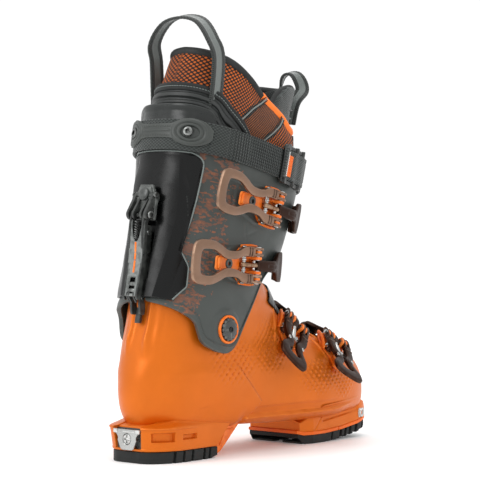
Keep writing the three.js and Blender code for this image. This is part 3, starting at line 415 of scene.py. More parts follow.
# ------------------------------------------------------------------ materials
class Paint:
    """A material's nodes, with short names for the few kinds this boot uses."""

    def __init__(self, name):
        self.mat = bpy.data.materials.new(name)
        self.mat.use_nodes = True
        self.tree = self.mat.node_tree
        self.bsdf = self.tree.nodes["Principled BSDF"]
        self.coord = self.tree.nodes.new("ShaderNodeTexCoord")
        self.obj, self.uv = self.coord.outputs["Object"], self.coord.outputs["UV"]

    def put(self, value, socket):
        if isinstance(value, bpy.types.NodeSocket):
            self.tree.links.new(value, socket)
        elif value is not None:
            socket.default_value = value

    def math(self, op, a, b=None):
        n = self.tree.nodes.new("ShaderNodeMath")
        n.operation = op
        for v, s in zip((a, b), n.inputs):
            self.put(v, s)
        return n.outputs[0]

    def noise(self, scale, detail=3.0, vector=None, rough=0.5):
        n = self.tree.nodes.new("ShaderNodeTexNoise")
        self.put(vector or self.obj, n.inputs["Vector"])
        n.inputs["Scale"].default_value, n.inputs["Detail"].default_value = scale, detail
        n.inputs["Roughness"].default_value = rough
        return n.outputs[0]

    def step(self, value, low, high, a=0.0, b=1.0):
        """a where value is under low, b over high, with a smooth run between."""
        n = self.tree.nodes.new("ShaderNodeMapRange")
        n.interpolation_type = "SMOOTHSTEP"
        for v, k in ((value, 0), (low, 1), (high, 2), (a, 3), (b, 4)):
            self.put(v, n.inputs[k])
        return n.outputs[0]

    def mix(self, fac, a, b):
        n = self.tree.nodes.new("ShaderNodeMix")
        n.data_type = "RGBA"
        self.put(fac, n.inputs[0])
        for v, k in ((a, 6), (b, 7)):
            self.put((*v, 1) if isinstance(v, tuple) and len(v) == 3 else v, n.inputs[k])
        return n.outputs[2]

    def split(self, vector):
        n = self.tree.nodes.new("ShaderNodeSeparateXYZ")
        self.put(vector, n.inputs[0])
        return n.outputs

    def join(self, x, y, z=0.0):
        n = self.tree.nodes.new("ShaderNodeCombineXYZ")
        for v, s in zip((x, y, z), n.inputs):
            self.put(v, s)
        return n.outputs[0]

    def bump(self, height, strength=0.3, distance=0.0004, normal=None):
        n = self.tree.nodes.new("ShaderNodeBump")
        n.inputs["Strength"].default_value, n.inputs["Distance"].default_value = strength, distance
        self.put(height, n.inputs["Height"])
        self.put(normal, n.inputs["Normal"])
        return n.outputs[0]

    def worn(self):
        """Edges picked out by the surface's own curvature: 0 on flats, 1 on sharp outer edges."""
        n = self.tree.nodes.new("ShaderNodeNewGeometry")
        return self.step(n.outputs["Pointiness"], 0.515, 0.6)

    def done(self, color, rough, normal=None, **sockets):
        self.put((*color, 1) if isinstance(color, tuple) else color, self.bsdf.inputs["Base Color"])
        self.put(rough, self.bsdf.inputs["Roughness"])
        self.put(normal, self.bsdf.inputs["Normal"])
        for key, v in sockets.items():
            self.bsdf.inputs[key.replace("_", " ")].default_value = v
        return self.mat


def rgb(code):
    """A display colour such as 0xd9752a as linear light."""
    parts = [((code >> k) & 255) / 255 for k in (16, 8, 0)]
    return tuple(c / 12.92 if c <= 0.04045 else ((c + 0.055) / 1.055) ** 2.4 for c in parts)


def moulded(name, color, rough, grain=900.0, depth=0.12, shade=0.12, worn=None, coat=0.0, **more):
    """Moulded plastic or rubber: fine grain, slow colour drift, rubbed edges."""
    p = Paint(name)
    dark = tuple(c * (1 - shade) for c in color)
    light = tuple(min(1, c * (1 + shade)) for c in color)
    drift = p.mix(p.step(p.noise(22.0, 4.0), 0.3, 0.7), dark, light)
    if worn:
        drift = p.mix(p.math("MULTIPLY", p.worn(), p.step(p.noise(160.0, 3.0), 0.35, 0.65, 0.15, 0.8)), drift, worn)
    scuff = p.step(p.noise(60.0, 5.0, rough=0.65), 0.35, 0.75, rough - 0.07, rough + 0.09)
    normal = p.bump(p.noise(grain, 3.0, rough=0.6), depth, 0.0003)
    normal = p.bump(p.noise(90.0, 2.0), 0.05, 0.0006, normal)
    return p.done(drift, scuff, normal, Coat_Weight=coat, Coat_Roughness=0.25, **more)


def metal(name, color, rough, worn=None):
    """Anodised or bare metal with faint brushing and brighter edges."""
    p = Paint(name)
    x, y, z = p.split(p.obj)
    stretched = p.join(x, y, p.math("MULTIPLY", z, 14.0))
    lines = p.noise(260.0, 4.0, stretched)
    base = p.mix(p.step(p.noise(40.0, 4.0), 0.3, 0.7), tuple(c * 0.88 for c in color),
                 tuple(min(1, c * 1.1) for c in color))
    if worn:
        base = p.mix(p.math("MULTIPLY", p.worn(), p.step(p.noise(200.0, 3.0), 0.35, 0.6, 0.2, 0.9)), base, worn)
    finish = p.step(lines, 0.3, 0.7, rough - 0.05, rough + 0.09)
    return p.done(base, finish, p.bump(lines, 0.06, 0.0002), Metallic=1.0)


def woven(name, color, light, pitch, rough=0.85):
    """Woven webbing on the piece's own UV: warp and weft over each other, with a soft sheen."""
    p = Paint(name)
    u, v, _ = p.split(p.uv)
    k = 10 * math.pi / pitch
    wu, wv = p.math("SINE", p.math("MULTIPLY", u, k)), p.math("SINE", p.math("MULTIPLY", v, k))
    weave = p.math("MULTIPLY", wu, wv)
    high = p.step(weave, -0.7, 0.7)
    fuzz = p.noise(1500.0, 2.0)
    base = p.mix(p.math("MULTIPLY", high, p.step(fuzz, 0.3, 0.7, 0.4, 1.0)), color, light)
    normal = p.bump(high, 0.55, 0.0005, p.bump(fuzz, 0.2, 0.0002))
    return p.done(base, rough, normal, Sheen_Weight=0.35, Sheen_Roughness=0.4)


ORANGE = moulded("satin_orange", rgb(0xCF660B), 0.4, worn=rgb(0xE59244), shade=0.05, depth=0.05, coat=0.05,
                 Specular_IOR_Level=0.3, Metallic=0.4)
BRIGHT = moulded("bright_orange", rgb(0xE36406), 0.42, worn=rgb(0xFA9440), shade=0.08, depth=0.06, coat=0.05,
                 Specular_IOR_Level=0.3)
BLACK = moulded("gloss_black", rgb(0x050606), 0.3, worn=rgb(0x303331), shade=0.15, depth=0.03, coat=0.0,
                Specular_IOR_Level=0.25)
SPOILER = moulded("spoiler_grey", rgb(0x1E2120), 0.34, worn=rgb(0x565956), depth=0.04, coat=0.05,
                  Specular_IOR_Level=0.35)
RUBBER = moulded("tread_rubber", rgb(0x171918), 0.62, worn=rgb(0x363836), depth=0.3,
                 Specular_IOR_Level=0.35)
YOKE = moulded("yoke_rubber", rgb(0x363A37), 0.5, worn=rgb(0x5C605B), depth=0.12)
LINER_PLASTIC = moulded("liner_moulding", rgb(0x202322), 0.46, worn=rgb(0x464A47), depth=0.12)
FOAM = moulded("liner_foam", rgb(0x2B2D2C), 0.9, grain=500.0, depth=0.5)
BLACK_MATT = moulded("black_fitting", rgb(0x101211), 0.36, worn=rgb(0x4A4D4A), depth=0.06, coat=0.1)
CATCH = moulded("catch_grey", rgb(0x2A2D2B), 0.34, worn=rgb(0x6E716E), depth=0.06, coat=0.15)
PIPING = moulded("liner_piping", rgb(0x141716), 0.7, grain=1400.0, depth=0.5)
PIPING_ORANGE = moulded("orange_piping", rgb(0xF87512), 0.55, grain=1400.0, depth=0.4)
SEAM = moulded("seam_tape", rgb(0x6E7673), 0.6, grain=1400.0, depth=0.3)
BRONZE = metal("bronze", rgb(0x886C5A), 0.4, worn=rgb(0xC4A48C))
BROWN = metal("dark_brown", rgb(0x35221A), 0.42, worn=rgb(0x6C564A))
BARREL_BRONZE = metal("barrel_bronze", rgb(0x7A5C46), 0.32, worn=rgb(0xC9A98D))
BOLT = metal("dull_steel", rgb(0x555755), 0.36, worn=rgb(0x8E908E))
STEEL = metal("bright_steel", rgb(0xB4B5B3), 0.26, worn=rgb(0xDCDCDA))
WEBBING = woven("strap_webbing", rgb(0x1D201F), rgb(0x434946), 1.3)
LINER_CLOTH = woven("liner_cloth", rgb(0x121514), rgb(0x2A2F2D), 1.1)


def cuff_material():
    """Matt grey with blocky brown-orange flecks scattered beside the rear panel's edge."""
    p = Paint("cuff_grey")
    u, v, _ = p.split(p.uv)
    px, py = (p.math("SNAP", c, 0.085) for c in (u, v))
    grid = p.join(px, p.math("MULTIPLY", py, 1.5))
    blobs = p.noise(0.62, 2.0, grid, 0.5)
    shred = p.noise(2.6, 3.0, grid, 0.6)
    near = p.math("MULTIPLY", p.step(u, 11.6, 13.0), p.step(u, 15.6, 15.2))
    low_end = p.step(v, 0.3, 1.8)
    level = p.math("ADD", p.math("MULTIPLY", blobs, 0.55), p.math("MULTIPLY", shred, 0.62))
    mask = p.math("GREATER_THAN", p.math("ADD", level, p.math("MULTIPLY", near, 0.09)), 0.685)
    mask = p.math("MULTIPLY", mask, p.math("GREATER_THAN", p.math("MULTIPLY", near, low_end), 0.03))
    drift = p.mix(p.step(p.noise(18.0, 3.0), 0.3, 0.7), rgb(0x343936), rgb(0x3E4340))
    fleck = p.mix(p.step(shred, 0.5, 0.75), rgb(0x6A4534), rgb(0x9A5631))
    base = p.mix(p.math("MULTIPLY", mask, 0.85), drift, fleck)
    base = p.mix(p.math("MULTIPLY", p.worn(), p.step(p.noise(160.0), 0.4, 0.65, 0.1, 0.6)), base, rgb(0x6C726E))
    rough = p.step(p.noise(60.0, 5.0), 0.35, 0.75, 0.42, 0.56)
    return p.done(base, rough, p.bump(p.noise(1100.0, 3.0), 0.1, 0.0003))


def dot_material(name, size, ground, dot, fill):
    """Liner mesh: rows of coloured dots showing through a black knitted grid."""
    p = Paint(name)
    u, v, _ = p.split(p.uv)
    k = 10 * math.pi / size
    a = p.math("SINE", p.math("MULTIPLY", p.math("ADD", u, v), k * 0.7071))
    b = p.math("SINE", p.math("MULTIPLY", p.math("SUBTRACT", u, v), k * 0.7071))
    cell = p.math("MULTIPLY", p.math("ABSOLUTE", a), p.math("ABSOLUTE", b))
    wobble = p.math("MULTIPLY", p.math("SUBTRACT", p.noise(300.0), 0.5), 0.25)
    dots = p.step(p.math("ADD", cell, wobble), fill - 0.07, fill + 0.1)
    base = p.mix(p.math("MULTIPLY", dots, p.step(p.noise(35.0, 3.0), 0.25, 0.7, 0.6, 1.0)), ground, dot)
    normal = p.bump(p.math("SUBTRACT", 1.0, dots), 0.6, 0.0004, p.bump(p.noise(1500.0), 0.15, 0.0002))
    return p.done(base, 0.75, normal, Sheen_Weight=0.05, Sheen_Roughness=0.5, Specular_IOR_Level=0.3)


CUFF_GREY = cuff_material()
DOTS = dot_material("liner_dots", 2.7, rgb(0x0D0F0F), rgb(0xC05E1C), 0.47)
FINE_DOTS = dot_material("liner_fine_dots", 1.9, rgb(0x101312), rgb(0x9C5526), 0.52)


# ------------------------------------------------------------------ camera, light and floor
def aim(obj, at, direction):
    obj.location = at
    obj.rotation_euler = Vector(direction).to_track_quat("-Z", "Y").to_euler()
    bpy.context.scene.collection.objects.link(obj)
    return obj


CAMERA_AT, CAMERA_TOWARDS = (-1.33457, -1.12351, 0.21112), (0.76181, 0.64766, -0.01356)
LENS_MM, SENSOR_MM = 145.0, 36.0
LIT_CENTRE = Vector((-0.02, 0.0, 0.18))      # the lights turn about this point of the boot
WORLD_LIGHT, EXPOSURE = 0.86, 0.27
FLOOR_ALBEDO, FLOOR_GLOW, FLOOR_HALF = 0.93, 0.05, 9

camera = bpy.data.cameras.new("camera")
camera.lens, camera.sensor_width, camera.clip_end = LENS_MM, SENSOR_MM, 20.0
bpy.context.scene.camera = aim(bpy.data.objects.new("camera", camera), CAMERA_AT, CAMERA_TOWARDS)


def softbox(name, azimuth, elevation, distance, size, power, height=None):
    """A rectangular light that looks at the boot; azimuth 0 is the outer side, 90 the toe."""
    data = bpy.data.lights.new(name, "AREA")
    data.shape, data.size, data.size_y, data.energy = "RECTANGLE", size, height or size, power
    a, e = math.radians(azimuth), math.radians(elevation)
    away = Vector((math.sin(a) * math.cos(e), -math.cos(a) * math.cos(e), math.sin(e)))
    aim(bpy.data.objects.new(name, data), LIT_CENTRE + away * distance, -away)


softbox("key", -106, 36, 1.6, 0.55, 7.5, 1.3)
softbox("front", -8, 30, 2.0, 0.4, 1.2, 1.2)
softbox("top", 20, 82, 1.5, 0.9, 4.0)
softbox("rim", 120, 30, 1.7, 0.5, 2.5, 1.4)
world = bpy.data.worlds.new("studio")
world.use_nodes = True
background = world.node_tree.nodes["Background"].inputs
background[0].default_value, background[1].default_value = (1, 1, 1, 1), WORLD_LIGHT
bpy.context.scene.world = world
bpy.context.scene.view_settings.view_transform = "Standard"
bpy.context.scene.view_settings.exposure = EXPOSURE

floor_paint = Paint("studio_floor")
floor_material = floor_paint.done((FLOOR_ALBEDO,) * 3, 0.75, floor_paint.bump(floor_paint.noise(30.0), 0.02, 0.0005),
                                  Emission_Strength=FLOOR_GLOW)
floor_mesh = bpy.data.meshes.new("floor")
floor_mesh.from_pydata([(x * FLOOR_HALF, y * FLOOR_HALF, 0) for x, y in ((-1, -1), (1, -1), (1, 1), (-1, 1))], [],
                       [(0, 1, 2, 3)])
floor_mesh.materials.append(floor_material)
floor = bpy.data.objects.new("floor", floor_mesh)
bpy.context.scene.collection.objects.link(floor)


# ------------------------------------------------------------------ lower shell
# the swellings under the two buckles: middle x and z, half length, half height
SHELL_PADS = ((17, 104, 20, 17), (84, 86, 18, 14))
# the overlap's edges: x at the top and at the bottom, height of the top and of the bottom
SHELL_OVERLAPS = ((6, -8, 128, 82), (66, 70, 105, 76))
# patches of pits (going in) or pips (standing out): middle x and z, half length, half height, pitch, height
SHELL_PATCHES = ((-62, 84, 38, 26, 5.4, -1.2), (-12, 94, 32, 30, 5.0, -0.9), (52, 63, 34, 20, 4.8, 1.05),
                 (90, 56, 22, 18, 4.6, 0.95))


def shell_relief(p):
    """How far the lower shell's skin stands out of its plain form."""
    x, y, z = np.moveaxis(p, -1, 0)
    outer = (y < 0).astype(float)
    d = np.zeros_like(x)
    # welt along the foot's side, above the sole
    welt_z = 30 + 3.0 * smooth(60, 120, x)
    side_wall = smooth(18, 34, np.abs(y))
    d += 3.0 * bump_at(z, welt_z, 3.0, 1.2) * smooth(-42, -36, x) * (1 - smooth(78, 112, x)) * side_wall
    d -= 0.9 * bump_at(z, welt_z + 7.5, 1.4, 3.5) * smooth(-34, -20, x) * (1 - smooth(60, 100, x)) * side_wall
    # stepped heel counter: its front edge runs down and forwards, then back to the sole
    edge_x = np.where(z > 47, -62 + (84 - z) * 0.98, -24 - (47 - z) * 1.0)
    counter = smooth(1.1, 0.0, x - edge_x) * (1 - smooth(74, 86, z)) * side_wall
    d += 1.5 * counter
    # the side walls flare down to the heel block
    d += 3.4 * (1 - smooth(28, 47, z)) ** 1.6 * smooth(-134, -112, x) * (1 - smooth(-52, -40, x)) * side_wall
    # soft arch over the heel and hollow behind the ankle
    d -= 1.6 * np.exp(-((x + 98) / 26) ** 2 - ((z - 52) / 17) ** 2) * smooth(10, 30, np.abs(y))
    # channel guards at the back, either side of the walk bar's seat
    back = smooth(-105, -118, x)
    for sign in (-1, 1):
        d += 2.6 * np.exp(-((y - sign * 9.5) / 2.6) ** 2) * back * smooth(96, 108, z) * (1 - smooth(140, 147, z))
        d += 1.5 * np.exp(-((y - sign * 10.5) / 3.4) ** 2) * back * smooth(86, 100, z) * (1 - smooth(100, 112, z))
    d += 0.9 * bump_at(np.abs(y), 0, 17, 5) * back * smooth(92, 104, z)
    # swelling pads the two buckles sit on
    for cx, cz, rx, rz in SHELL_PADS:
        r = np.sqrt(((x - cx) / rx) ** 2 + ((z - cz) / rz) ** 2)
        d += 0.8 * (1 - smooth(0.8, 1.12, r)) * outer
    # overlap lips beside each pad
    for x0, x1, z0, z1 in SHELL_OVERLAPS:
        line = x0 + (x1 - x0) * np.clip((z0 - z) / (z0 - z1), 0, 1)
        d += 0.9 * smooth(1.2, 0, line - x) * np.exp(-np.clip(x - line, 0, 99) / 9) * smooth(z1 - 8, z1 + 4, z) * outer
    # rows of small pits under the hinge and on the side, and raised pips near the toe
    for cx, cz, rx, rz, pitch, amp in SHELL_PATCHES:
        a, b = (x + z) / 1.4142 / pitch, (x - z) / 1.4142 / pitch
        cell = np.sqrt((a - np.round(a)) ** 2 + (b - np.round(b)) ** 2) * pitch
        fade = 1 - smooth(0.45, 1.0, np.sqrt(((x - cx) / rx) ** 2 + ((z - cz) / rz) ** 2))
        d += amp * fade * (1 - smooth(0.6, 1.5, cell)) * smooth(14, 26, np.abs(y))
    return d


SHELL_WALL = 4.2


def lower_shell():
    """The orange lower shell: the foot form with its relief, a rim round its mouth, and the wall inside."""
    ns, nt = 400, 370
    s = np.linspace(0, 1, ns)
    turn = np.linspace(0, 2 * math.pi, nt, endpoint=False)
    p = foot(s[:, None], turn[None, :])
    n = outward(normals(p.transpose(1, 0, 2), wrap=True).transpose(1, 0, 2), p, p.mean(1, keepdims=True))
    outer = p + n * (shell_relief(p) * smooth(0.0, 0.03, s)[:, None])[..., None]
    inner_s = np.linspace(1, 0.03, 70)
    inner = foot(inner_s[:, None], turn[None, :], SHELL_WALL)
    lip = (outer[-1] + inner[0]) / 2 + UPWARD * 0.9
    grid = np.concatenate([outer, lip[None], inner])
    quads, ends = ring_faces(len(grid), nt)
    return grid.reshape(-1, 3), quads + ends


build("shell_body", lower_shell(), ORANGE, "clog", ["lower_shell"])


def sole_block(plan, z0, z1, relief, rows, under=None, shape=None, top=None):
    """A block of the sole from its plan outline, its wall displaced by relief(x, y, z)."""
    n = len(plan)
    out = left_of(plan) * (-1 if signed_area(plan) > 0 else 1)
    rings = []
    for v in np.linspace(0, 1, rows):
        low = np.full(n, z0, float) if under is None else under(plan[:, 0])
        high = np.full(n, z1, float) if top is None else top(plan[:, 0])
        z = low + (high - low) * v
        soft = 0.9 * (1 - math.sqrt(max(0.0, 1 - max(0.0, abs(v - 0.5) * 2 - 0.8) ** 2 * 25)))
        d = relief(plan[:, 0], plan[:, 1], z) - soft
        rings.append(np.c_[plan + out * d[:, None], z])
    grid = np.array(rings)
    if shape:
        grid = shape(grid)
    faces, _ = ring_faces(len(grid), n)
    for k, first in ((0, 0), (-1, (len(grid) - 1) * n)):
        flat = [Vector((x, y, 0)) for x, y in grid[k][:, :2]]
        faces += [tuple(int(i) + first for i in t) for t in tessellate_polygon([flat])]
    return grid.reshape(-1, 3), faces


def heel_plan(half, back, front, corner, n=260):
    """The heel's outline from above: square at the front, its back corners rounded."""
    pts = [[front, half]]
    for a in np.linspace(0, math.pi / 2, 14):
        pts.append([back + corner * (1 - math.sin(a)), half - corner * (1 - math.cos(a)) * 0.72])
    pts = np.array(pts)
    loop = np.concatenate([pts, (pts * [1, -1])[::-1]])
    return even(loop, n)


def even(loop, n):
    """n points evenly spread along a closed outline."""
    closed = np.concatenate([loop, loop[:1]])
    run = np.r_[0, np.cumsum(np.linalg.norm(np.diff(closed, axis=0), axis=1))]
    at = np.linspace(0, run[-1], n, endpoint=False)
    return np.stack([np.interp(at, run, closed[:, k]) for k in (0, 1)], 1)


def in_box(x, z, x0, x1, z0, z1, soft=0.5):
    """1 inside a rectangle, 0 outside, with soft edges."""
    return (smooth(x0 - soft, x0 + soft, x) * (1 - smooth(x1 - soft, x1 + soft, x))
            * smooth(z0 - soft, z0 + soft, z) * (1 - smooth(z1 - soft, z1 + soft, z)))


def heel_relief(x, y, z):
    """Slots, the insert's seat and the ledge's lip in the heel block's wall."""
    side_wall = np.abs(y) > 20
    d = np.zeros_like(x)
    d -= 3.2 * in_box(x, z, -118, -101, 19.6, 23.4) * side_wall         # long slot
    d -= 4.2 * in_box(x, z, -147, -128, 18.6, 26.0) * (np.abs(y) > 17)   # recess beside the insert
    d -= 5.2 * in_box(np.abs(y), z, -1, 15.4, 12.5, 32.5) * (x < -140)  # seat of the insert
    d += 0.8 * smooth(28.2, 29.4, z) * smooth(-96, -112, x)               # lip of the ledge
    d += 0.5 * (1 - smooth(12.0, 13.0, z))
    return d


def skin_y(x, z, side):
    """The foot form's Y at a place on its side wall."""
    low, high = np.full(x.shape, 0.05), np.full(x.shape, 0.98)
    for _ in range(30):
        s = (low + high) / 2
        tx, tz, bx, bz = np.moveaxis(FOOT(s)[..., :4], -1, 0)
        behind = (bx - tx) * (z - tz) - (bz - tz) * (x - tx) < 0
        low, high = np.where(behind, s, low), np.where(behind, high, s)
    tx, tz, bx, bz, half, middle, widest, top_full, bottom_full = np.moveaxis(FOOT(s), -1, 0)
    q = ((x - tx) * (bx - tx) + (z - tz) * (bz - tz)) / ((bx - tx) ** 2 + (bz - tz) ** 2)
    u = np.where(q < widest, (widest - q) / widest, (q - widest) / (1 - widest))
    full = np.where(q < widest, top_full, bottom_full)
    return middle + side * half * np.clip(1 - np.clip(np.abs(u), 0, 1) ** full, 0, 1) ** (1 / full)


def heel_shape(g):
    """Slants the heel's front face, draws in its lower back and runs its top into the shell's side."""
    x, y, z = np.moveaxis(g.copy(), -1, 0)
    up = np.clip((z - 10.3) / 20.7, 0, 1)
    x = x + smooth(-86, -71, x) * (-5 + 20 * up)
    back = smooth(-112, -146, x)
    y, x = y * (1 - 0.09 * back * (1 - up)), x + 2.0 * back * (1 - up)
    skin = skin_y(x, z, np.sign(y)) + 0.3 * np.sign(y)
    run = smooth(29.5, 38, z) * (np.abs(y) > 12)
    return np.stack([x, y * (1 - run) + skin * run, z], -1)


HEEL_TOP = ([-150, -134, -122, -108, -70], [31, 31.2, 34, 42, 50])
build("heel_block", sole_block(heel_plan(34.5, -151.5, -70, 29, 420), 10.3, 31, heel_relief, 60,
                               top=lambda x: np.interp(x, *HEEL_TOP), shape=heel_shape), ORANGE, "clog")


# ------------------------------------------------------------------ cuff
CUFF_LOW = edge([[0, 76], [20, 74.5], [35, 70], [47, 62], [54, 50], [57, 32], [63, 9], [68, -8], [78, -18],
                 [90, -20], [104, -19], [116, -15], [127, -1], [140, 5], [155, 9], [180, 12.7]])
CUFF_HIGH = edge([[0, 146], [50, 152], [90, 160], [130, 165], [180, 167]])
CUFF_WALL = 3.6
BUCKLES_AT = {"upper": (76, 113.5), "lower": (81, 60)}          # angle and height under each lever's hinge


def cuff_relief(angle, t, p):
    """How far the cuff's skin stands out of the shaft's form."""
    x, y, z = np.moveaxis(p, -1, 0)
    low = CUFF_LOW(angle)
    d = np.zeros_like(x)
    # rolled lower lip, thicker at the sides
    side = smooth(40, 62, fold(angle)) * (1 - smooth(138, 150, fold(angle)))
    d += 1.1 * (1 - smooth(4.6, 6.2, t - low)) * side
    d -= 0.35 * bump_at(t - low, 6.6, 0.4, 0.9) * side
    # round boss over the ankle hinge
    r = np.hypot(x - PIVOT[0], z - PIVOT[2])
    d += (1.9 * (1 - smooth(14.5, 19.5, r)) - 1.5 * (1 - smooth(11.2, 11.9, r))) * (np.abs(y) > 30)
    # raised moulded pads with a pocket under each buckle
    outer = fold(angle) == np.mod(angle, 360)
    for a0, t0 in BUCKLES_AT.values():
        u, v = -arc_mm(angle - a0), t - t0
        half_high = 17.5 - 4.5 * smooth(-16, -40, u) - 5 * smooth(8, 20, u)
        pad = 1 - smooth(0.93, 1.03, np.maximum(np.abs(u + 13) / 33, np.abs(v) / half_high))
        d += 1.1 * pad * outer
        pocket = 1 - smooth(0.8, 1.0, np.maximum(np.abs(u + 46) / 13, np.abs(v) / 11))
        d -= 1.0 * pocket * outer
    # slim moulded crest between the buckles
    u, v = -arc_mm(angle - 94), t - 86
    for du, dv, tilt in ((0, 0, 0.5), (-7, 2, -1.1)):
        a = (u - du) * math.cos(tilt) + (v - dv) * math.sin(tilt)
        b = -(u - du) * math.sin(tilt) + (v - dv) * math.cos(tilt)
        d -= 0.5 * np.exp(-(a / 8) ** 2 - (b / 1.5) ** 2) * (np.mod(angle, 360) < 180)
    # upper hem
    d += 0.5 * (1 - smooth(1.5, 2.6, CUFF_HIGH(angle) - t))
    return d


def cuff_shell():
    """The grey cuff: open at the front with its inner flap under the outer one, and cut out for the walk bar."""
    a, t, _ = between(-24, 396, 520, 190, CUFF_LOW, CUFF_HIGH)
    p = shaft(a, t, -4.5 * smooth(296, 336, a))
    n = skin_normals(p, t)
    d = cuff_relief(a, t, p)
    # the notch and groove behind the walk bar
    w = (p - PIVOT) @ FORWARD
    groove = (1 - smooth(6.6, 7.6, np.abs(p[..., 1]))) * (w < -40) * smooth(18, 21, t) * (1 - smooth(74, 77, t))
    d -= 2.6 * groove
    notch = (np.abs(p[..., 1]) < 7.2) & (w < -40)
    lift = np.where(notch, np.maximum(t, 27.0), t)
    p = p + (lift - t)[..., None] * UPWARD
    uv = np.stack([a * math.pi / 180 * 5.7 * 10, t], -1)
    return sheet(p, n, d, -CUFF_WALL, rim=1.0, uv=uv)


build("cuff_body", cuff_shell(), CUFF_GREY, "cuff", ["cuff_shell"], sharp=50)

PANEL_BOTTOM, PANEL_TOP, PANEL_RADIUS = 14, 140.5, 60


def panel_side(t):
    """The rear panel's side edge as an angle: out at the calf, notched above the hinge."""
    return np.interp(t, [12, 27, 44, 56, 66, 101, 131, 136, 139, 141.5],
                     [151.5, 142.2, 144.6, 152.6, 152.6, 150.2, 148.9, 149.8, 152.5, 158])


def rear_panel():
    """The gloss black rear panel: a raised spine with sloping facets, a border, and a seat for the walk lever."""
    rows = PANEL_BOTTOM + (PANEL_TOP - PANEL_BOTTOM) * np.linspace(0, 1, 200)[None, :]
    e = panel_side(rows)
    angle = e + (360 - 2 * e) * np.linspace(0, 1, 260)[:, None]
    t = rows + 0 * angle
    p = shaft(angle, t)
    n = skin_normals(p, t)
    mm = arc_mm(180 - fold(angle), PANEL_RADIUS)         # distance from the back's middle line
    heights = [14, 50, 82, 110, 131, 140]                # the sloping facet's outer and inner edges
    foot_of, ridge = (np.interp(t, heights, at) for at in ([27, 31, 31, 26, 19.5, 18.5],
                                                           [16, 19, 20.3, 19.5, 17.5, 17.5]))
    h = np.clip((foot_of - mm) / np.maximum(foot_of - ridge, 0.8), 0, 1) * smooth(139, 112, t) * 3.2
    border = 1 - smooth(0.8, 2.0, arc_mm(fold(angle) - e))
    border = np.maximum(border, 1 - smooth(0.8, 1.8, PANEL_TOP - t))
    out = 2.2 + h + 0.6 * smooth(14, 40, mm) * (1 - border) - 0.4 * border
    w = (p - PIVOT) @ FORWARD
    seat = (1 - smooth(8.2, 9.4, np.abs(p[..., 1]))) * (1 - smooth(76, 80, t)) * (w < 0)
    out = out * (1 - seat) + 0.25 * seat
    back = np.where(seat > 0.5, -0.6, 0.3)
    return sheet(p, n, out, back, rim=0.7, uv=np.stack([angle, t], -1))


build("rear_shell_panel", rear_panel(), BLACK, "cuff", ["rear_panel"], sharp=24)


def edge_line():
    """The bright edge that runs round the rear panel."""
    rows = np.linspace(PANEL_BOTTOM, PANEL_TOP, 120)
    e = panel_side(rows)
    left = shaft(e - 0.25, rows, 1.5)
    top_a = np.linspace(e[-1], 360 - e[-1], 60)[1:-1]
    top = shaft(top_a, 140.9 + 0 * top_a, 1.5)
    right = shaft(360 - e[::-1] + 0.25, rows[::-1], 1.5)
    path = spline(np.concatenate([left, top, right])[::3], 260)
    return tube(path, 0.75, 8)


build("rear_panel_edge", edge_line(), SEAM, "cuff")


def spoiler():
    """The grey spoiler that carries the panel's line up to the strap."""
    high = edge([[0, 160], [139, 166], [150, 179], [180, 182]])
    angle, t, _ = between(139, 221, 180, 60, 143, high)
    p = shaft(angle, t)
    n = skin_normals(p, t)
    mm = arc_mm(180 - fold(angle), PANEL_RADIUS)
    top = high(angle) - t
    hollow = smooth(2.5, 5.5, top) * (1 - smooth(9, 15, top)) * (1 - smooth(20, 25, mm))
    out = 2.0 + 0.8 * (1 - smooth(1.2, 2.6, top)) - 0.9 * hollow
    out += 0.9 * (1 - smooth(14, 24, np.abs(mm - 12) + 10))
    return sheet(p, n, out, 0.3, rim=0.8, uv=np.stack([angle, t], -1))


build("spoiler_shell", spoiler(), SPOILER, "cuff", ["rear_spoiler"], sharp=30)


# ------------------------------------------------------------------ ankle hinge
HINGE_FACE_Y = 50.2


def hinge_frame(side):
    return basis(PIVOT + [0, side * HINGE_FACE_Y, 0], [1, 0, 0], [0, side, 0])


def hinge_cover(side):
    """The hinge's dark disc: a toothed rim and a shallow dome."""
    teeth = disc(1, 96)
    a = np.arctan2(teeth[:, 1], teeth[:, 0])
    r = 8.9 + 0.9 * (np.cos(a * 14) > -0.25)
    cover = Part().add(*prism(np.c_[np.cos(a) * r, np.sin(a) * r], 0.5, 3.9, [], 0.35))
    cover.add(*lathe([[0, 5.1], [2.4, 5.1], [2.6, 4.9], [6.2, 4.9], [7.4, 4.5], [7.9, 3.6], [7.9, 0.4],
                      [0, 0.4]], 48))
    return cover.moved(hinge_frame(side))


def open_ring(profile, n):
    """A solid of revolution with a hole through it: the profile's last point joins its first."""
    verts, faces = lathe(profile, n)
    last = (len(profile) - 1) * n
    closing = [(k, last + k, last + (k + 1) % n, (k + 1) % n) for k in range(n)]
    return verts, [f for f in faces if len(f) == 4] + closing


def hinge_ring(side):
    """The bright ring round the disc, with six lugs inside it."""
    ring = Part().add(*open_ring([[10.2, 0], [12.3, 0], [12.3, 2.2], [12.0, 2.8], [11.2, 3.0], [10.5, 2.7],
                                  [10.2, 2.1]], 64))
    for k in range(6):
        b = block((1.5, 1.5, 1.2), 0.25)
        a = k * math.pi / 3 + 0.35
        ring.add(b[0] @ np.array([[math.cos(a), math.sin(a), 0], [-math.sin(a), math.cos(a), 0], [0, 0, 1]])
                 + [9.9 * math.cos(a), 9.9 * math.sin(a), 1.6], b[1])
    return ring.moved(hinge_frame(side))


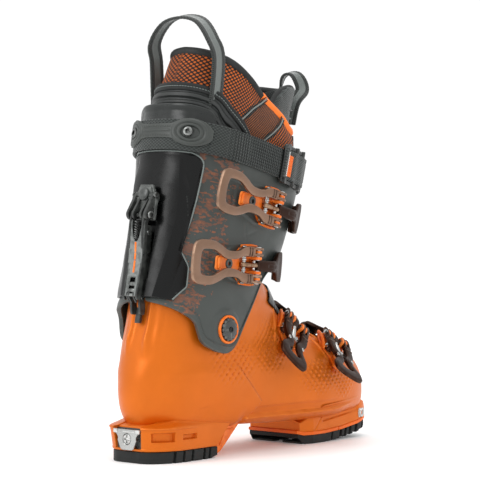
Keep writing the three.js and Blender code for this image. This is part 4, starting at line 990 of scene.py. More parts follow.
def rivet(at, axis, r, height):
    """A domed rivet head with a dimple."""
    m = basis(at, [0.3, 0.2, 1] if abs(axis[2]) < 0.9 else [1, 0, 0], axis)
    part = Part().add(*lathe([[r * 0.45, height * 0.55], [r * 0.5, height], [r * 0.8, height * 0.93],
                              [r, height * 0.6], [r, -0.6], [0, -0.6]], 24))
    part.add(*lathe([[0, height * 0.5], [r * 0.47, height * 0.56], [r * 0.47, 0.0], [0, 0]], 24))
    return part.moved(m)


for side, word in SIDES:
    build(f"hinge_disc_{word}", hinge_cover(side), CATCH, "clog", [f"ankle_pivot_{word}"])
    build(f"hinge_ring_{word}", hinge_ring(side), BRIGHT, "clog")
    socket = Part().add(*lathe([[0, 5.15], [1.5, 5.15], [1.6, 5.5], [2.4, 5.5], [2.6, 5.1], [2.6, 4.7], [0, 4.7]], 24))
    build(f"hinge_socket_{word}", socket.moved(hinge_frame(side)), BLACK, "clog")


# ------------------------------------------------------------------ power strap
STRAP_LOW, STRAP_HIGH, STRAP_THICK = 142.5, 167.5, 2.0


def strap_offset(angle):
    """How far the strap's inner face stands off the shaft; it climbs over the rear panel."""
    return 0.8 + 2.6 * smooth(118, 134, fold(angle))


def wrap_band(a0, a1, low, high, inner, outer, nu, nv, wrap, relief, rim):
    """A band round the shaft between two angles."""
    a, t, _ = between(a0, a1, nu, nv, low, high, wrap)
    p = shaft(a, t)
    uv = np.stack([np.radians(a) * PANEL_RADIUS, t], -1)
    return sheet(p, skin_normals(p, t, wrap), outer(a) + relief(a, t), inner(a), wrap=wrap, rim=rim, uv=uv)


STRAP_SEAMS = (135.8, 148, 117, 77)         # angles of the stitched seams across the strap


def strap_relief(a, t):
    """Ribbed webbing with seams across it, stitched hems and a soft wave."""
    f = fold(a)
    mm = arc_mm(f)
    ribbed = smooth(77, 78, f) * (1 - smooth(134, 135, f)) + (1 - smooth(42, 43, f)) * 0.8
    ribs = -0.75 * (np.abs(np.mod(mm, 2.5) - 1.25) < 0.42)
    d = ribs * np.clip(ribbed, 0, 1) * (1 - bump_at(f, 117, 1.5, 0.3))
    for seam in STRAP_SEAMS:
        d -= 0.55 * bump_at(mm, arc_mm(seam), 0.35, 0.4)
    d += 0.5 * smooth(135, 136, f)
    d -= 0.35 * bump_at(t, STRAP_LOW + 1.6, 0.25, 0.4) + 0.35 * bump_at(t, STRAP_HIGH - 1.6, 0.25, 0.4)
    return d + 0.25 * np.sin(mm * 0.13 + 1) * np.sin(t * 0.2)


def on_strap(more):
    """A layer over the strap, as a height above the shaft."""
    return lambda a: strap_offset(a) + more


build("strap_webbing", wrap_band(0, 360, STRAP_LOW, STRAP_HIGH, strap_offset, on_strap(STRAP_THICK), 900,
                                 34, True, strap_relief, 0.5), WEBBING, "cuff", ["power_strap"], sharp=60)


def yoke_relief(a, t):
    """A raised ring round each screw, and two cords over the bar between them."""
    mm = arc_mm(180 - fold(a), 61)
    r = np.hypot(mm - 22.3, t - 157.5)
    d = 0.9 * bump_at(r, 9.6, 0.5, 1.2) + 0.9 * bump_at(r, 6.6, 0.5, 0.9) - 1.3 * (1 - smooth(4.8, 5.6, r))
    bar = 1 - smooth(9, 11.5, mm)
    d += 0.7 * bump_at(t, 158.0, 0.6, 0.9) * bar
    for stitch_t in (153.6, 161.2):
        d += 0.5 * bump_at(t, stitch_t, 0.3, 0.6) * bar * (np.mod(mm, 1.6) < 0.9)
    return d


YOKE_LOW = edge([[0, 155], [146, 155], [148.4, 151.5], [152, 148.2], [158.6, 146.4], [165, 148.4], [169, 151.8],
                 [180, 152.4]])
YOKE_HIGH = edge([[0, 160], [146, 160], [148.4, 163.5], [152, 166.8], [158.6, 168.6], [165, 166.6], [169, 163.4],
                  [180, 162.6]])
build("yoke_plate", wrap_band(147, 213, YOKE_LOW, YOKE_HIGH, on_strap(2.3), on_strap(4.0), 260, 60, False, yoke_relief,
                              0.8), YOKE, "cuff", ["strap_yoke"], sharp=40)

for s, word in SIDES:
    seat = shaft(180 + s * 21, 157.5, 6.2)
    out = unit(shaft(180 + s * 21, 157.5, 12) - seat)
    screw = Part().add(*lathe([[2.1, 0.9], [2.2, 2.5], [3.9, 2.3], [4.4, 1.5], [4.4, 0.1], [0, 0.1]], 32))
    screw.add(*prism(disc(2.25, 6), 0.2, 0.9, [], 0.1))
    build(f"yoke_bolt_{word}", screw.moved(basis(seat, [0, 0, 1], out)), BOLT, "cuff", [f"yoke_screw_{word}"])


def tab_relief(a, t):
    hems = bump_at(t, STRAP_LOW + 3.4, 0.2, 0.5) + bump_at(t, STRAP_HIGH - 3.4, 0.2, 0.5)
    return 0.3 * np.sin(np.radians(a) * 60 * 0.5) - 0.4 * hems


def print_relief(a, t):
    return -0.55 * (np.abs(np.mod(t, 3.4) - 1.7) < 0.35) * bump_at(a, 69, 1.2, 0.3)


build("strap_end_tab", wrap_band(44.5, 75.5, STRAP_LOW + 0.3, STRAP_HIGH - 0.3, on_strap(5.1), on_strap(6.9), 150, 30,
                                 False, tab_relief, 0.7), WEBBING, "cuff", ["strap_tab"], sharp=60)
build("strap_tab_print", wrap_band(66.5, 71.5, STRAP_LOW + 2.5, STRAP_HIGH - 4.5, on_strap(6.5), on_strap(7.35), 20, 24,
                                   False, print_relief, 0.3), BRIGHT, "cuff")
stitches = Part()
for k in range(13):
    t0 = STRAP_LOW + 1.6 + k * 1.72
    line = shaft(np.linspace(73.4, 74.2, 6), np.linspace(t0, t0 + 1.1, 6), 7.9)
    stitches.add(*tube(line, 0.45, 8))
build("strap_tab_stitches", stitches, moulded("thread_white", rgb(0xDADCD8), 0.7), "cuff")


def ladder_lock():
    """The frame the strap passes through: two side bars and three cross bars with broken edges."""
    part = Part()
    for t0 in (STRAP_LOW - 2.6, STRAP_HIGH + 2.6):
        a = np.linspace(50, 77.5, 24)
        p = shaft(a, t0 + 0 * a, strap_offset(a) + 4.1)
        part.add(*tube(p, np.interp(a, [50, 52, 75.5, 77.5], [1.2, 2.3, 2.3, 1.2]), 12))
        for a0 in (53, 62, 74):
            knob = prism(rounded([(-2.6, -2.2), (2.6, -2.2), (2.6, 2.2), (-2.6, 2.2)], 1.1), -1.6, 3.4, bevel=0.4)
            at = shaft(a0, t0, 4.9)
            part.take(Part().add(*knob).moved(basis(at, UPWARD, unit(shaft(a0, t0, 9.0) - at))))
    for a0, r in ((51.5, 2.0), (76, 1.9)):
        t = np.linspace(STRAP_LOW - 2, STRAP_HIGH + 2, 24)
        p = shaft(a0 + 0 * t, t, 4.6)
        part.add(*tube(p, r, 12, squash=0.6))
    return part


build("strap_ladder_lock", ladder_lock(), BLACK_MATT, "cuff", ["strap_frame"])


# ------------------------------------------------------------------ buckles
# Each buckle's own axes: x from the handle towards the catch, y along the lever's hinge, z out of the boot.
HINGE_Z, BARREL_X, BARREL_Z = 9.6, -15.0, 6.4


def curve_pairs(outer, inner, per=10):
    """Two smooth curves through matched points, as one grid (n, 2, 2)."""
    return np.stack([catmull(outer, per), catmull(inner, per)], 1)


LEVER_OUTER = [[-6.5, 15.2], [-14, 15.2], [-20, 14.2], [-28, 10.8], [-42, 10.6], [-53, 14.8], [-64, 17.8],
               [-79, 18.0], [-86, 15.4], [-88.4, 7.7], [-88.8, 0]]
LEVER_INNER = [[-6.5, 8.2], [-14, 8.2], [-20, 7.8], [-30, 5.2], [-43, 4.8], [-55, 9.2], [-63, 11.7],
               [-73.5, 11.9], [-78.6, 10.3], [-80.2, 5.4], [-80.6, 0]]
SHORT_OUTER = [[-6.5, 15.2], [-14, 15.2], [-20, 14.2], [-30, 10.4], [-42, 10.4], [-52, 14.0], [-62, 16.6],
               [-76, 17.0], [-84, 14.8], [-88.0, 8], [-88.6, 0]]
SHORT_INNER = [[-6.5, 8.2], [-14, 8.2], [-20, 7.4], [-30, 3.6], [-43, 3.4], [-52, 5.4], [-57, 7.6],
               [-62, 8.2], [-66, 7.0], [-68.6, 4], [-69.0, 0]]


def lever_part(stretch, lift):
    """The lever: a waisted loop that lifts towards its end, two forked ears on the hinge and cheeks by the barrel."""
    half = [[[x if x > -24 else -24 + (x + 24) * stretch, y] for x, y in line]
            for line in ((LEVER_OUTER, LEVER_INNER) if stretch == 1 else (SHORT_OUTER, SHORT_INNER))]
    ring = curve_pairs(*(h + [[x, -y] for x, y in h[-2::-1]] for h in half), per=9)
    v = np.linspace(0, 1, 7)
    xy = ring[:, :1] * (1 - v[None, :, None]) + ring[:, 1:] * v[None, :, None]
    start = -24 - 18 * stretch
    raise_by = lift * smooth(start, start - 26 * stretch, xy[..., 0])
    arm = smooth(start - 2, start + 12 * stretch, xy[..., 0])
    z = HINGE_Z + raise_by + 0.9 * np.exp(-((xy[..., 0] - start) / (9 * stretch + 2)) ** 2)
    p = np.concatenate([xy, z[..., None]], -1)
    n = np.broadcast_to(np.array([0, 0, 1.0]), p.shape)
    crown = 1 - (2 * v[None, :] - 1) ** 4
    half_thick = 1.5 + 0.5 * arm
    part = Part().add(*sheet(p, n, half_thick + 0.5 * crown, -half_thick - 0.25 * crown, rim=0.8)[:2])
    prong = rounded([(-8.0, -2.5), (3, -2.7), (6.6, -1.4), (6.6, 1.4), (3, 2.7), (-8.0, 2.5)],
                    [0.2, 2, 1.4, 1.4, 2, 0.2])
    cheek = rounded([(-19.2, 3.2), (-11, 3.2), (-11.5, 9), (-18.5, 9)], 1.4)
    for s in (-1, 1):
        for y0, y1 in ((8.0, 10.2), (13.3, 15.5)):
            part.add(*sideways(prism(prong, y0, y1, bevel=0.35), s, z=HINGE_Z))
        part.add(*sideways(prism(cheek, 9.0, 14.6, bevel=0.5), s))
    return part


def lever_trim(stretch):
    """Dark bands let into the lever's arms."""
    part = Part()
    for s in (-1, 1):
        for x0 in ((-10.4, -13.6) if stretch == 1 else (-11.5,)):
            verts, faces = block((1.7, 7.5, 5.3), 0.3)
            part.add(verts + [x0, s * 11.7, HINGE_Z + 0.05], faces)
    return part


def lever_pins(stretch):
    """Bright hinge pins, barrel ends and rivets that turn with the lever."""
    part = Part()
    for s in (-1, 1):
        for x, z, r, y0, y1 in ((0, HINGE_Z, 2.0, 4.4, 16.2), (BARREL_X, BARREL_Z, 1.75, 8.6, 16.2)):
            prof = [[r * 0.55, y1 + 0.5], [r, y1], [r * 1.25, y1 - 0.2], [r * 1.25, y1 - 0.8], [r, y1 - 0.8], [r, y0],
                    [0, y0]]
            part.add(*sideways(lathe(prof, 20), s, x, z))
        if stretch < 1:
            part.take(rivet([-24 - 9 * stretch, s * 9.6, HINGE_Z + 2.5], [0, 0, 1], 1.7, 0.8))
    return part


def base_part(stretch):
    """The base plate: a tailed plan with a raised deck, rails, and ears that carry the hinge."""
    tail = -24 - 22 * stretch
    half = [(tail, -6), (-23, -6.6), (-15, -15.0), (-8, -16.9), (4, -16.6), (8.5, -13), (9.4, -7.5), (6.5, -5)]
    radii = [2.5, 3, 3, 4, 2, 2, 1.5, 1.5]
    plan = rounded(half + [(x, -y) for x, y in half[::-1]], radii + radii[::-1], 5)
    hole_x = -22 - 10 * stretch
    part = Part().add(*prism(plan, 0.05, 2.3, [disc(3.0, 28, (hole_x, 0))], 0.45))
    deck = rounded([(tail + 1.2, -4.9), (-21, -5.6), (-17.8, -4), (-17.8, 4), (-21, 5.6), (tail + 1.2, 4.9)], 1.8)
    part.add(*prism(deck, 1.9, 4.4, [disc(2.9, 28, (hole_x, 0))], 0.5))
    ear = rounded([(-6.2, 1.6), (7.0, 1.6), (3.7, 11.0), (2.2, 12.8), (-2.2, 12.8), (-3.7, 11.0)],
                  [0.4, 0.4, 2, 2.2, 2.2, 2])
    nub = rounded([(-2.4, 1.6), (4.8, 1.6), (4.6, 8.6), (3.0, 12.2), (-1.4, 12.2), (-2.8, 10.2)],
                  [0.3, 0.6, 1.4, 1.6, 1.6, 1.2])
    for s in (-1, 1):
        # outer rails beside the arms
        x = np.linspace(-15.5, 6.5, 40)
        rail = np.stack([x, s * (16.1 + 0.9 * np.sin((x + 15.5) / 22 * math.pi)),
                         2.4 + 2.6 * np.sin(np.clip((x + 15.5) / 22, 0, 1) * math.pi) ** 0.7], 1)
        part.add(*tube(rail, 1.05, 10, squash=1.6))
        # inner rails beside the barrel, and the ears that carry the hinge
        x = np.linspace(-10.5, 7.5, 30)
        rail = np.stack([x, s * (5.8 + 0.9 * np.cos((x + 2) / 9 * math.pi / 2)),
                         3.2 + 3.4 * np.exp(-((x - 0.2) / 5.5) ** 2)], 1)
        part.add(*tube(rail, 0.9, 10, squash=1.2))
        part.add(*sideways(prism(ear, 5.0, 7.5, bevel=0.4), s))
        part.add(*sideways(prism(nub, 10.6, 12.8, bevel=0.35), s))
    return part


def grommet(stretch):
    """Black ring let into the base plate's hole."""
    verts, faces = open_ring([[2.0, 5.1], [4.0, 5.1], [4.7, 4.5], [4.7, 2.6], [2.0, 2.6]], 28)
    return Part().add(verts + [-22 - 10 * stretch, 0, 0], faces)


def along_x(profile):
    """A turned piece about the bail's screw line; profile is [radius, x]."""
    verts, faces = lathe(profile, 24)
    return np.stack([verts[:, 2], verts[:, 0], verts[:, 1]], 1) + [0, 0, BARREL_Z], faces


def rod_part(reach):
    """The bail's threaded rod with its barrel nut, and the pins across it."""
    end = BARREL_X + reach
    prof = [[0, end], [1.5, end]]
    for x in np.arange(end - 1, 3.0, -1.1):
        prof += [[1.5, x + 0.55], [1.95, x + 0.25], [1.5, x - 0.05]]
    prof += [[1.9, 2.2], [2.5, 1.8], [2.5, -5.6], [2.1, -6.2], [2.1, -7.0], [2.75, -7.6], [2.75, -16.4], [2.3, -17.6],
             [1.2, -18.4], [0, -18.4]]
    hinge_pin = lathe([[0, 8.4], [1.5, 8.4], [1.8, 8.0], [1.8, 5.4], [2.3, 5.0], [2.3, 4.0], [1.7, 3.6], [1.7, 1.0],
                       [0, 1.0]], 24)
    nut_pin = lathe([[0, 4.8], [1.2, 4.8], [1.5, 4.4], [1.5, 1.0], [0, 1.0]], 20)
    pins = Part()
    for s in (-1, 1):
        pins.add(*sideways(hinge_pin, s, BARREL_X, BARREL_Z))
        pins.add(*sideways(nut_pin, s, BARREL_X + 14, BARREL_Z))
    return Part().add(*along_x(prof)), pins


def hook_part(bend_x, tip, dip, half, reach):
    """Dark stem that runs forward, bends over the boot and widens into the crossbar with its lip."""
    c, s = math.cos(math.radians(dip)), math.sin(math.radians(dip))
    at = lambda x, z: np.array([tip[0] + (x - 4) * c + z * s, tip[1] - (x - 4) * s + z * c])
    bend = np.array([bend_x - 11, BARREL_Z])
    first = BARREL_X + reach * 0.45
    over = at(-6, 0.4) - bend
    line = [np.array([first, BARREL_Z]), np.array([first + 4, BARREL_Z]), bend - [3, 0], bend + over * 0.22,
            bend + over * 0.6, at(-6, 0.4), at(-2.5, 0.4), at(1.0, 0.5), at(3.6, 0.1), at(4.6, -1.6), at(4.6, -3.2)]
    widths = [4.1, 4.1, 4.2, 5.0, half - 0.8, half, half, half - 0.2, half - 0.6, half - 1.0, half - 1.4]
    thick = [3.2, 3.4, 3.3, 2.6, 2.0, 1.9, 1.8, 1.7, 1.5, 1.2, 0.9]
    full = spline(np.c_[np.array(line), widths, thick], 64)
    v = np.linspace(-1, 1, 15)
    run = unit(np.gradient(full[:, :2], axis=0))
    up = np.stack([-run[:, 1], run[:, 0]], 1)
    p = np.stack([full[:, None, 0] + 0 * v, full[:, None, 2] * v[None, :], full[:, None, 1] + 0 * v], -1)
    n = np.broadcast_to(np.stack([up[:, 0], 0 * up[:, 0], up[:, 1]], -1)[:, None], p.shape)
    shape = 1 - 0.28 * np.abs(v[None, :]) ** 3
    t = full[:, None, 3] * shape
    groove = 0.5 * (np.abs(v[None, :]) < 0.35) * bump_at(np.arange(64), 20, 5, 2)[:, None]
    return Part().add(*sheet(p, n, t - groove, -t, rim=0.7)[:2])


def catch_part(teeth, half):
    """Toothed catch strip: a bevelled foot, side cheeks and leaning teeth; the first tooth apart."""
    pitch, start = 9.5, -4.6
    length = pitch * teeth + 5
    end = start + length
    foot_plan = rounded([(start, -half), (end, -half * 0.8), (end, half * 0.8), (start, half)], 2.5)
    part = Part().add(*prism(foot_plan, 0.05, 1.7, bevel=0.4))
    grey = Part()
    for i in range(teeth):
        x = -2.5 + i * pitch
        h = half * (1 - 0.18 * i / teeth)
        prof = rounded([(x - 1.2, 1.2), (x + 4.0, 1.2), (x + 3.3, 4.0), (x + 1.0, 4.0)], [0.2, 0.2, 0.6, 0.6])
        (grey if i == 0 else part).add(*sideways(prism(prof, -h * 0.62, h * 0.62, bevel=0.35)))
        for s in (-1, 1):
            part.add(*sideways(prism(prof, h * 0.7, h, bevel=0.3), s))
    return part, grey


def node_points(name):
    """A CAD node's vertices in the boot's millimetres."""
    data = frame["nodes"][name].data
    co = np.empty(len(data.vertices) * 3)
    data.vertices.foreach_get("co", co)
    return co.reshape(-1, 3) * 1000 - SHIFT


def turned(m, points):
    """Points in the axes of the frame m."""
    return (points - m[:3, 3]) @ m[:3, :3]


# degrees from the CAD catch's place back to the first tooth, and to the hook
CATCH_BACK, HOOK_BACK = 6.5, 9.5


def leaning(m, p, out):
    """The frame m moved to p and turned about its Y until Z leans with out, and that lean in degrees."""
    x, _, z = out @ m[:3, :3]
    lean = math.degrees(math.atan2(x, z))
    c, s = math.cos(math.radians(lean)), math.sin(math.radians(lean))
    turn = np.eye(4)
    turn[:3, :3], turn[:3, 3] = [[c, 0, s], [0, 1, 0], [-s, 0, c]], turned(m, p)
    return m @ turn, lean


def cuff_place(hold, back):
    p = shaft(hold[0] + back, hold[1])
    return p, unit(shaft(hold[0] + back, hold[1], 3.0) - p)


def buckle_frames(name, surface, hold, du, dv):
    """A buckle's frame at its joints, its catch's frame, the hook's lean and the hook tip's place."""
    lever, bail = JOINTS[f"{name}_lever_turn"], JOINTS[f"{name}_bail_turn"]
    a, b = (np.array(j["pos_m"]) * 1000 - SHIFT for j in (lever, bail))
    y, d = unit(lever["axis"]), b - a
    x = unit(BARREL_X * d - (HINGE_Z - BARREL_Z) * np.cross(y, d))
    m = basis(a - HINGE_Z * np.cross(x, y), x, np.cross(x, y))
    p = surface(*hold)
    out = unit(np.cross(surface(hold[0] + du, hold[1]) - p, surface(hold[0], hold[1] + dv) - p))
    out = out * np.sign(np.dot(out, p - np.array([p[0] - 8, 0, p[2] - 12])) or 1)
    catch, dip = leaning(m, p, out)
    lift = turned(catch, node_points(f"{name}_buckle_catch"))[:, 2].min()
    tip = turned(m, catch[:3, 3] + catch[:3, 2] * (lift + 6.0))
    if surface is shaft:                    # hook and rack lie together, a little nearer to the lever
        catch, _ = leaning(m, *cuff_place(hold, CATCH_BACK))
        p, out = cuff_place(hold, HOOK_BACK)
        dip, tip = leaning(m, p, out)[1], turned(m, p + out * 3.4)
    catch[:3, 3] += catch[:3, 2] * lift
    return m, catch, dip, (tip[0], tip[2])


def shell_on(s, turn):
    return foot(s, math.radians(turn))


# mm each cuff buckle slides along its own hinge line
SLIDE = {"upper": -4.5, "lower": 6.0}
ON_CUFF = dict(stretch=1.0, lift=2.5, reach=40, bend=37, half=12.6, teeth=4, catch_half=8)
ON_SHELL = dict(stretch=0.42, lift=1.5, reach=26, bend=19, half=11, teeth=3, catch_half=7)
for name, surface, hold, du, dv, size, finish, body in (
        ("upper", shaft, (25, 121), -1, 1, ON_CUFF, BRONZE, "cuff"),
        ("lower", shaft, (26, 65), -1, 1, ON_CUFF, BRONZE, "cuff"),
        ("instep", shell_on, (0.5, 0), 0.01, 1, ON_SHELL, BROWN, "clog"),
        ("toe", shell_on, (0.262, 5), 0.01, 1, ON_SHELL, BROWN, "clog")):
    m, catch, dip, tip = buckle_frames(name, surface, hold, du, dv)
    for frame_at in (m, catch):
        frame_at[:3, 3] += m[:3, 1] * SLIDE.get(name, 0.0)
    k = size["stretch"]
    slot = "bronze" if finish is BRONZE else "dark_brown"
    lever, bail = f"{name}_lever", f"{name}_bail"
    build(f"{lever}_arms", lever_part(k, size["lift"]).moved(m), finish, lever, [f"{name}_buckle_lever"])
    build(f"{lever}_bands", lever_trim(k).moved(m), BROWN, lever)
    build(f"{lever}_pins", lever_pins(k).moved(m), STEEL, lever)
    build(f"{name}_base_plate", base_part(k).moved(m), BRIGHT, body, [f"{name}_buckle_base"])
    build(f"{name}_base_grommet", grommet(k).moved(m), BLACK_MATT, body)
    rod, axle = rod_part(size["reach"])
    build(f"{bail}_screw", rod.moved(m), BARREL_BRONZE if k == 1 else STEEL, bail, [f"{name}_buckle_rod"])
    build(f"{bail}_axle", axle.moved(m), STEEL, bail)
    hook = hook_part(size["bend"], tip, dip, size["half"], size["reach"])
    build(f"{bail}_hook", hook.moved(m), BROWN, bail, [f"{name}_buckle_hook"])
    rack, first = catch_part(size["teeth"], size["catch_half"])
    build(f"{name}_catch_rack", rack.moved(catch), BLACK_MATT, body, [f"{name}_buckle_catch"])
    build(f"{name}_catch_block", first.moved(catch), CATCH, body)


# ------------------------------------------------------------------ liner
LINER_RIM = edge([[0, 188], [45, 190], [60, 199], [90, 208], [125, 222], [150, 231], [180, 234]])
LINER_LOW = edge([[0, 68], [40, 74], [60, 84], [90, 92], [130, 84], [180, 75]])


def liner(angle, t, more=0.0):
    """A point on the liner's outer skin."""
    return shaft(angle, t, -9.3 + 7 * smooth(150, 205, t) + more, 14 * smooth(170, 215, t))


def liner_normals(angle, t):
    return unit(liner(angle, t, 1.0) - liner(angle, t, 0.0))


def on_shaft(p):
    """Angle and height on the shaft of points in the boot's millimetres."""
    q = p - PIVOT
    t, w = q @ UPWARD, q @ FORWARD
    front, back, _ = np.moveaxis(SHAFT(t), -1, 0)
    return np.degrees(np.arctan2(-q[:, 1], w - (front + back) / 2)), t


def coords(mesh):
    """A mesh's vertices as an array, in metres."""
    co = np.empty(len(mesh.vertices) * 3)
    mesh.vertices.foreach_get("co", co)
    return co.reshape(-1, 3)


def applied(obj):
    """Puts the modifiers' result into the object's own mesh."""
    bpy.context.view_layer.update()
    made = bpy.data.meshes.new_from_object(obj.evaluated_get(bpy.context.evaluated_depsgraph_get()))
    old, obj.data = obj.data, made
    obj.modifiers.clear()
    bpy.data.meshes.remove(old)


FILL_PRESSURE, FILL_FRAMES = 4.0, 20


def stuffed(name, plate, materials, zone, body, replaces, held, voxel=4.6, cap=2.2):
    """A padded panel: a closed form, remeshed evenly, filled by cloth pressure where it isn't held, and smoothed."""
    obj = build(name, plate, materials, body, replaces)
    remesh = obj.modifiers.new("even", "REMESH")
    remesh.mode, remesh.voxel_size = "VOXEL", voxel / 1000
    relax = obj.modifiers.new("relax", "SMOOTH")
    relax.factor, relax.iterations = 0.5, 3
    applied(obj)
    start = coords(obj.data)
    group = obj.vertex_groups.new(name="held")
    group.add(np.nonzero(held(start * 1000 - SHIFT))[0].tolist(), 1.0, "REPLACE")
    cloth = obj.modifiers.new("filling", "CLOTH")
    cloth.settings.vertex_group_mass = "held"
    cloth.settings.use_pressure, cloth.settings.uniform_pressure_force = True, FILL_PRESSURE
    cloth.settings.effector_weights.gravity = 0.0
    cloth.settings.quality = 5
    cloth.point_cache.frame_start, cloth.point_cache.frame_end = 1, FILL_FRAMES
    for f in range(1, FILL_FRAMES + 1):
        bpy.context.scene.frame_set(f)
    cooked = obj.evaluated_get(bpy.context.evaluated_depsgraph_get())
    move = coords(cooked.data) - start
    obj.modifiers.clear()
    bpy.context.scene.frame_set(1)
    far = np.linalg.norm(move, axis=1, keepdims=True)
    move *= np.minimum(1, cap / 1000 / np.maximum(far, 1e-9))
    obj.data.vertices.foreach_set("co", (start + move).ravel())
    smoother = obj.modifiers.new("finer", "SUBSURF")
    smoother.levels = smoother.render_levels = 1
    applied(obj)
    me = obj.data
    p = coords(me) * 1000 - SHIFT
    angle, t = on_shaft(p)
    layer = me.uv_layers.get("UVMap") or me.uv_layers.new(name="UVMap")
    vert = np.empty(len(me.loops), np.int32)
    me.loops.foreach_get("vertex_index", vert)
    layer.data.foreach_set("uv", np.stack([np.radians(angle) * 5.7, t / 10], 1)[vert].ravel())
    middle = np.empty(len(me.polygons) * 3)
    me.polygons.foreach_get("center", middle)
    me.polygons.foreach_set("material_index", zone(middle.reshape(-1, 3) * 1000 - SHIFT).astype(np.int32))
    me.shade_smooth()


SEAM_BACK = [(132, 173), (127, 179.6), (114, 195), (101, 204), (90.3, 211)]
SEAM_FRONT = [(100, 164), (94, 170), (77.6, 183.4), (67, 192), (60.5, 199.5)]


def liner_zone(p):
    """0: coloured dots, 1: finer panel between the seams, 2: plain lining inside and below."""
    angle, t = on_shaft(p)
    a = fold(angle)
    back, front = (np.interp(a, *zip(*seam[::-1])) for seam in (SEAM_BACK, SEAM_FRONT))
    depth = np.linalg.norm(p - liner(angle, t), axis=1)
    zone = np.where((t > front) & (t < back) & (a < 131), 1, 0)
    return np.where((depth > 4.4) | (t < 125), 2, zone)


def liner_upper():
    """The padded upper liner, open at the front."""
    a, t, v = between(40, 320, 170, 60, LINER_LOW, LINER_RIM)
    crown = 0.8 * smooth(0, 0.12, v) * smooth(1, 0.9, v) + 0 * t
    return sheet(liner(a, t), liner_normals(a, t), -0.9 + crown, -7.2 - 0.3 * crown, rim=2.6, steps=4)


stuffed("liner_upper", liner_upper(), [DOTS, FINE_DOTS, LINER_CLOTH], liner_zone, "cuff", ["liner_cuff"],
        lambda p: (on_shaft(p)[1] < 150) | (on_shaft(p)[1] > LINER_RIM(on_shaft(p)[0]) - 3))


a = np.linspace(98, 262, 160)
build("liner_rim_piping", tube(liner(a, LINER_RIM(a) + 0.6, -2.6), 2.9, 14, squash=1.25, up=UPWARD), PIPING, "cuff")
for s, word in ((1, "lateral"), (-1, "medial")):
    a = np.linspace(99, 41, 80)
    path = liner(a * s, LINER_RIM(a) + 1.6, -2.4)
    radius = np.interp(a, [41, 44, 96, 99], [1.6, 2.7, 2.7, 2.2])
    build(f"liner_bright_edge_{word}", tube(path, radius, 14, squash=1.5, up=UPWARD), PIPING_ORANGE, "cuff")
    front = np.linspace(188, 152, 40)
    path = liner((40.4 + 0 * front) * s, front, -3.6)
    build(f"liner_front_binding_{word}", tube(path, 2.7, 12, squash=1.5), PIPING, "cuff")
    for k, knots in enumerate((SEAM_BACK, SEAM_FRONT)):
        fine = spline(np.array(knots, float), 60)
        path = liner(fine[:, 0] * s, fine[:, 1], 0.35)
        build(f"liner_seam_{k}_{word}", tube(path, 0.75, 8), SEAM, "cuff")
        for d, place in ((-1.6, "in"), (1.6, "out")):
            path = liner((fine[:, 0] + d) * s, fine[:, 1] + d * 0.8, 0.15)
            build(f"liner_seam_{k}_{word}_{place}", tube(path, 0.5, 6), PIPING, "cuff")

# moulded heel-side panel of the liner, with a cloth binding round it
BACK_TOP = edge([[0, 150], [104, 158], [112, 166], [120.7, 174.5], [136, 187], [146, 196.5], [158, 200.5],
                 [180, 201.5]])


def moulded_back():
    """The liner's stiff heel-side panel, stepped in from its binding."""
    a, t, _ = between(108, 252, 220, 90, 150, BACK_TOP)
    # distance in from the binding, measured square to the outline
    slope = np.gradient(BACK_TOP(a[:, 0]), arc_mm(a[:, 0]))
    inward = (BACK_TOP(a) - t) / np.sqrt(1 + slope[:, None] ** 2)
    out = 1.3 + 1.7 * bump_at(inward, 9.0, 1.2, 1.6) - 0.5 * bump_at(inward, 12.4, 0.5, 0.8)
    out = out + 0.9 * bump_at(inward, 15.2, 0.8, 1.2)
    out = out - 0.7 * smooth(17, 19, inward) + 0.3 * smooth(26, 40, inward)
    return sheet(liner(a, t), liner_normals(a, t), out, -0.9, rim=0.6)


build("liner_moulded_back", moulded_back(), LINER_PLASTIC, "cuff", sharp=30)
angle = np.linspace(107, 253, 200)
for k, (inset, r, lift) in enumerate(((0.0, 2.2, 0.9), (3.4, 1.9, 1.3))):
    path = liner(angle, BACK_TOP(angle) - inset, lift)
    build(f"liner_binding_{k}", tube(path, r, 12, squash=1.0), PIPING, "cuff")
stitch = Part()
path = spline(liner(angle, BACK_TOP(angle) - 1.8, 3.1)[::4], 240)
for i in range(0, 238, 3):
    stitch.add(*tube(path[i:i + 3], 0.42, 6))
build("liner_binding_stitches", stitch, SEAM, "cuff")


TONGUE_TOP = edge([[0, 240], [18, 238.5], [30, 233], [40, 224], [50, 205]])
TONGUE_IN = -9.6                            # the tongue's outer face against the liner's


def tongue_plate():
    """The padded tongue, a plate that fills the liner's front."""
    a, t, v = between(-50, 50, 90, 90, 80, TONGUE_TOP)
    crown = 0.7 * (1 - np.abs(a / 50) ** 3) * smooth(0, 0.2, v)
    return sheet(liner(a, t, TONGUE_IN), liner_normals(a, t), -0.5 + crown, -7.2 - 0.3 * crown, rim=3.2, steps=5)


def tongue_zone(p):
    """0: woven face, 1: plain lining behind it."""
    return np.where(np.linalg.norm(p - liner(*on_shaft(p), TONGUE_IN), axis=1) > 3.6, 1, 0)


TONGUE_CLOTH = woven("tongue_cloth", rgb(0x242827), rgb(0x444B49), 1.0)
stuffed("tongue_pad", tongue_plate(), [TONGUE_CLOTH, LINER_CLOTH], tongue_zone, "cuff",
        ["liner_tongue"], lambda p: on_shaft(p)[1] < 150, voxel=3.3, cap=1.8)
a = np.linspace(-50, 50, 120)
build("tongue_binding", tube(liner(a, TONGUE_TOP(a) - 0.6, -13.3), 3.1, 12, squash=1.15, up=UPWARD), PIPING, "cuff")
a = np.linspace(-26, 26, 60)
for k, h in enumerate((222, 214)):
    build(f"tongue_rib_{k}", tube(liner(a, h - 0.010 * a * a, -9.1), 1.1, 8, squash=0.8), TONGUE_CLOTH, "cuff")


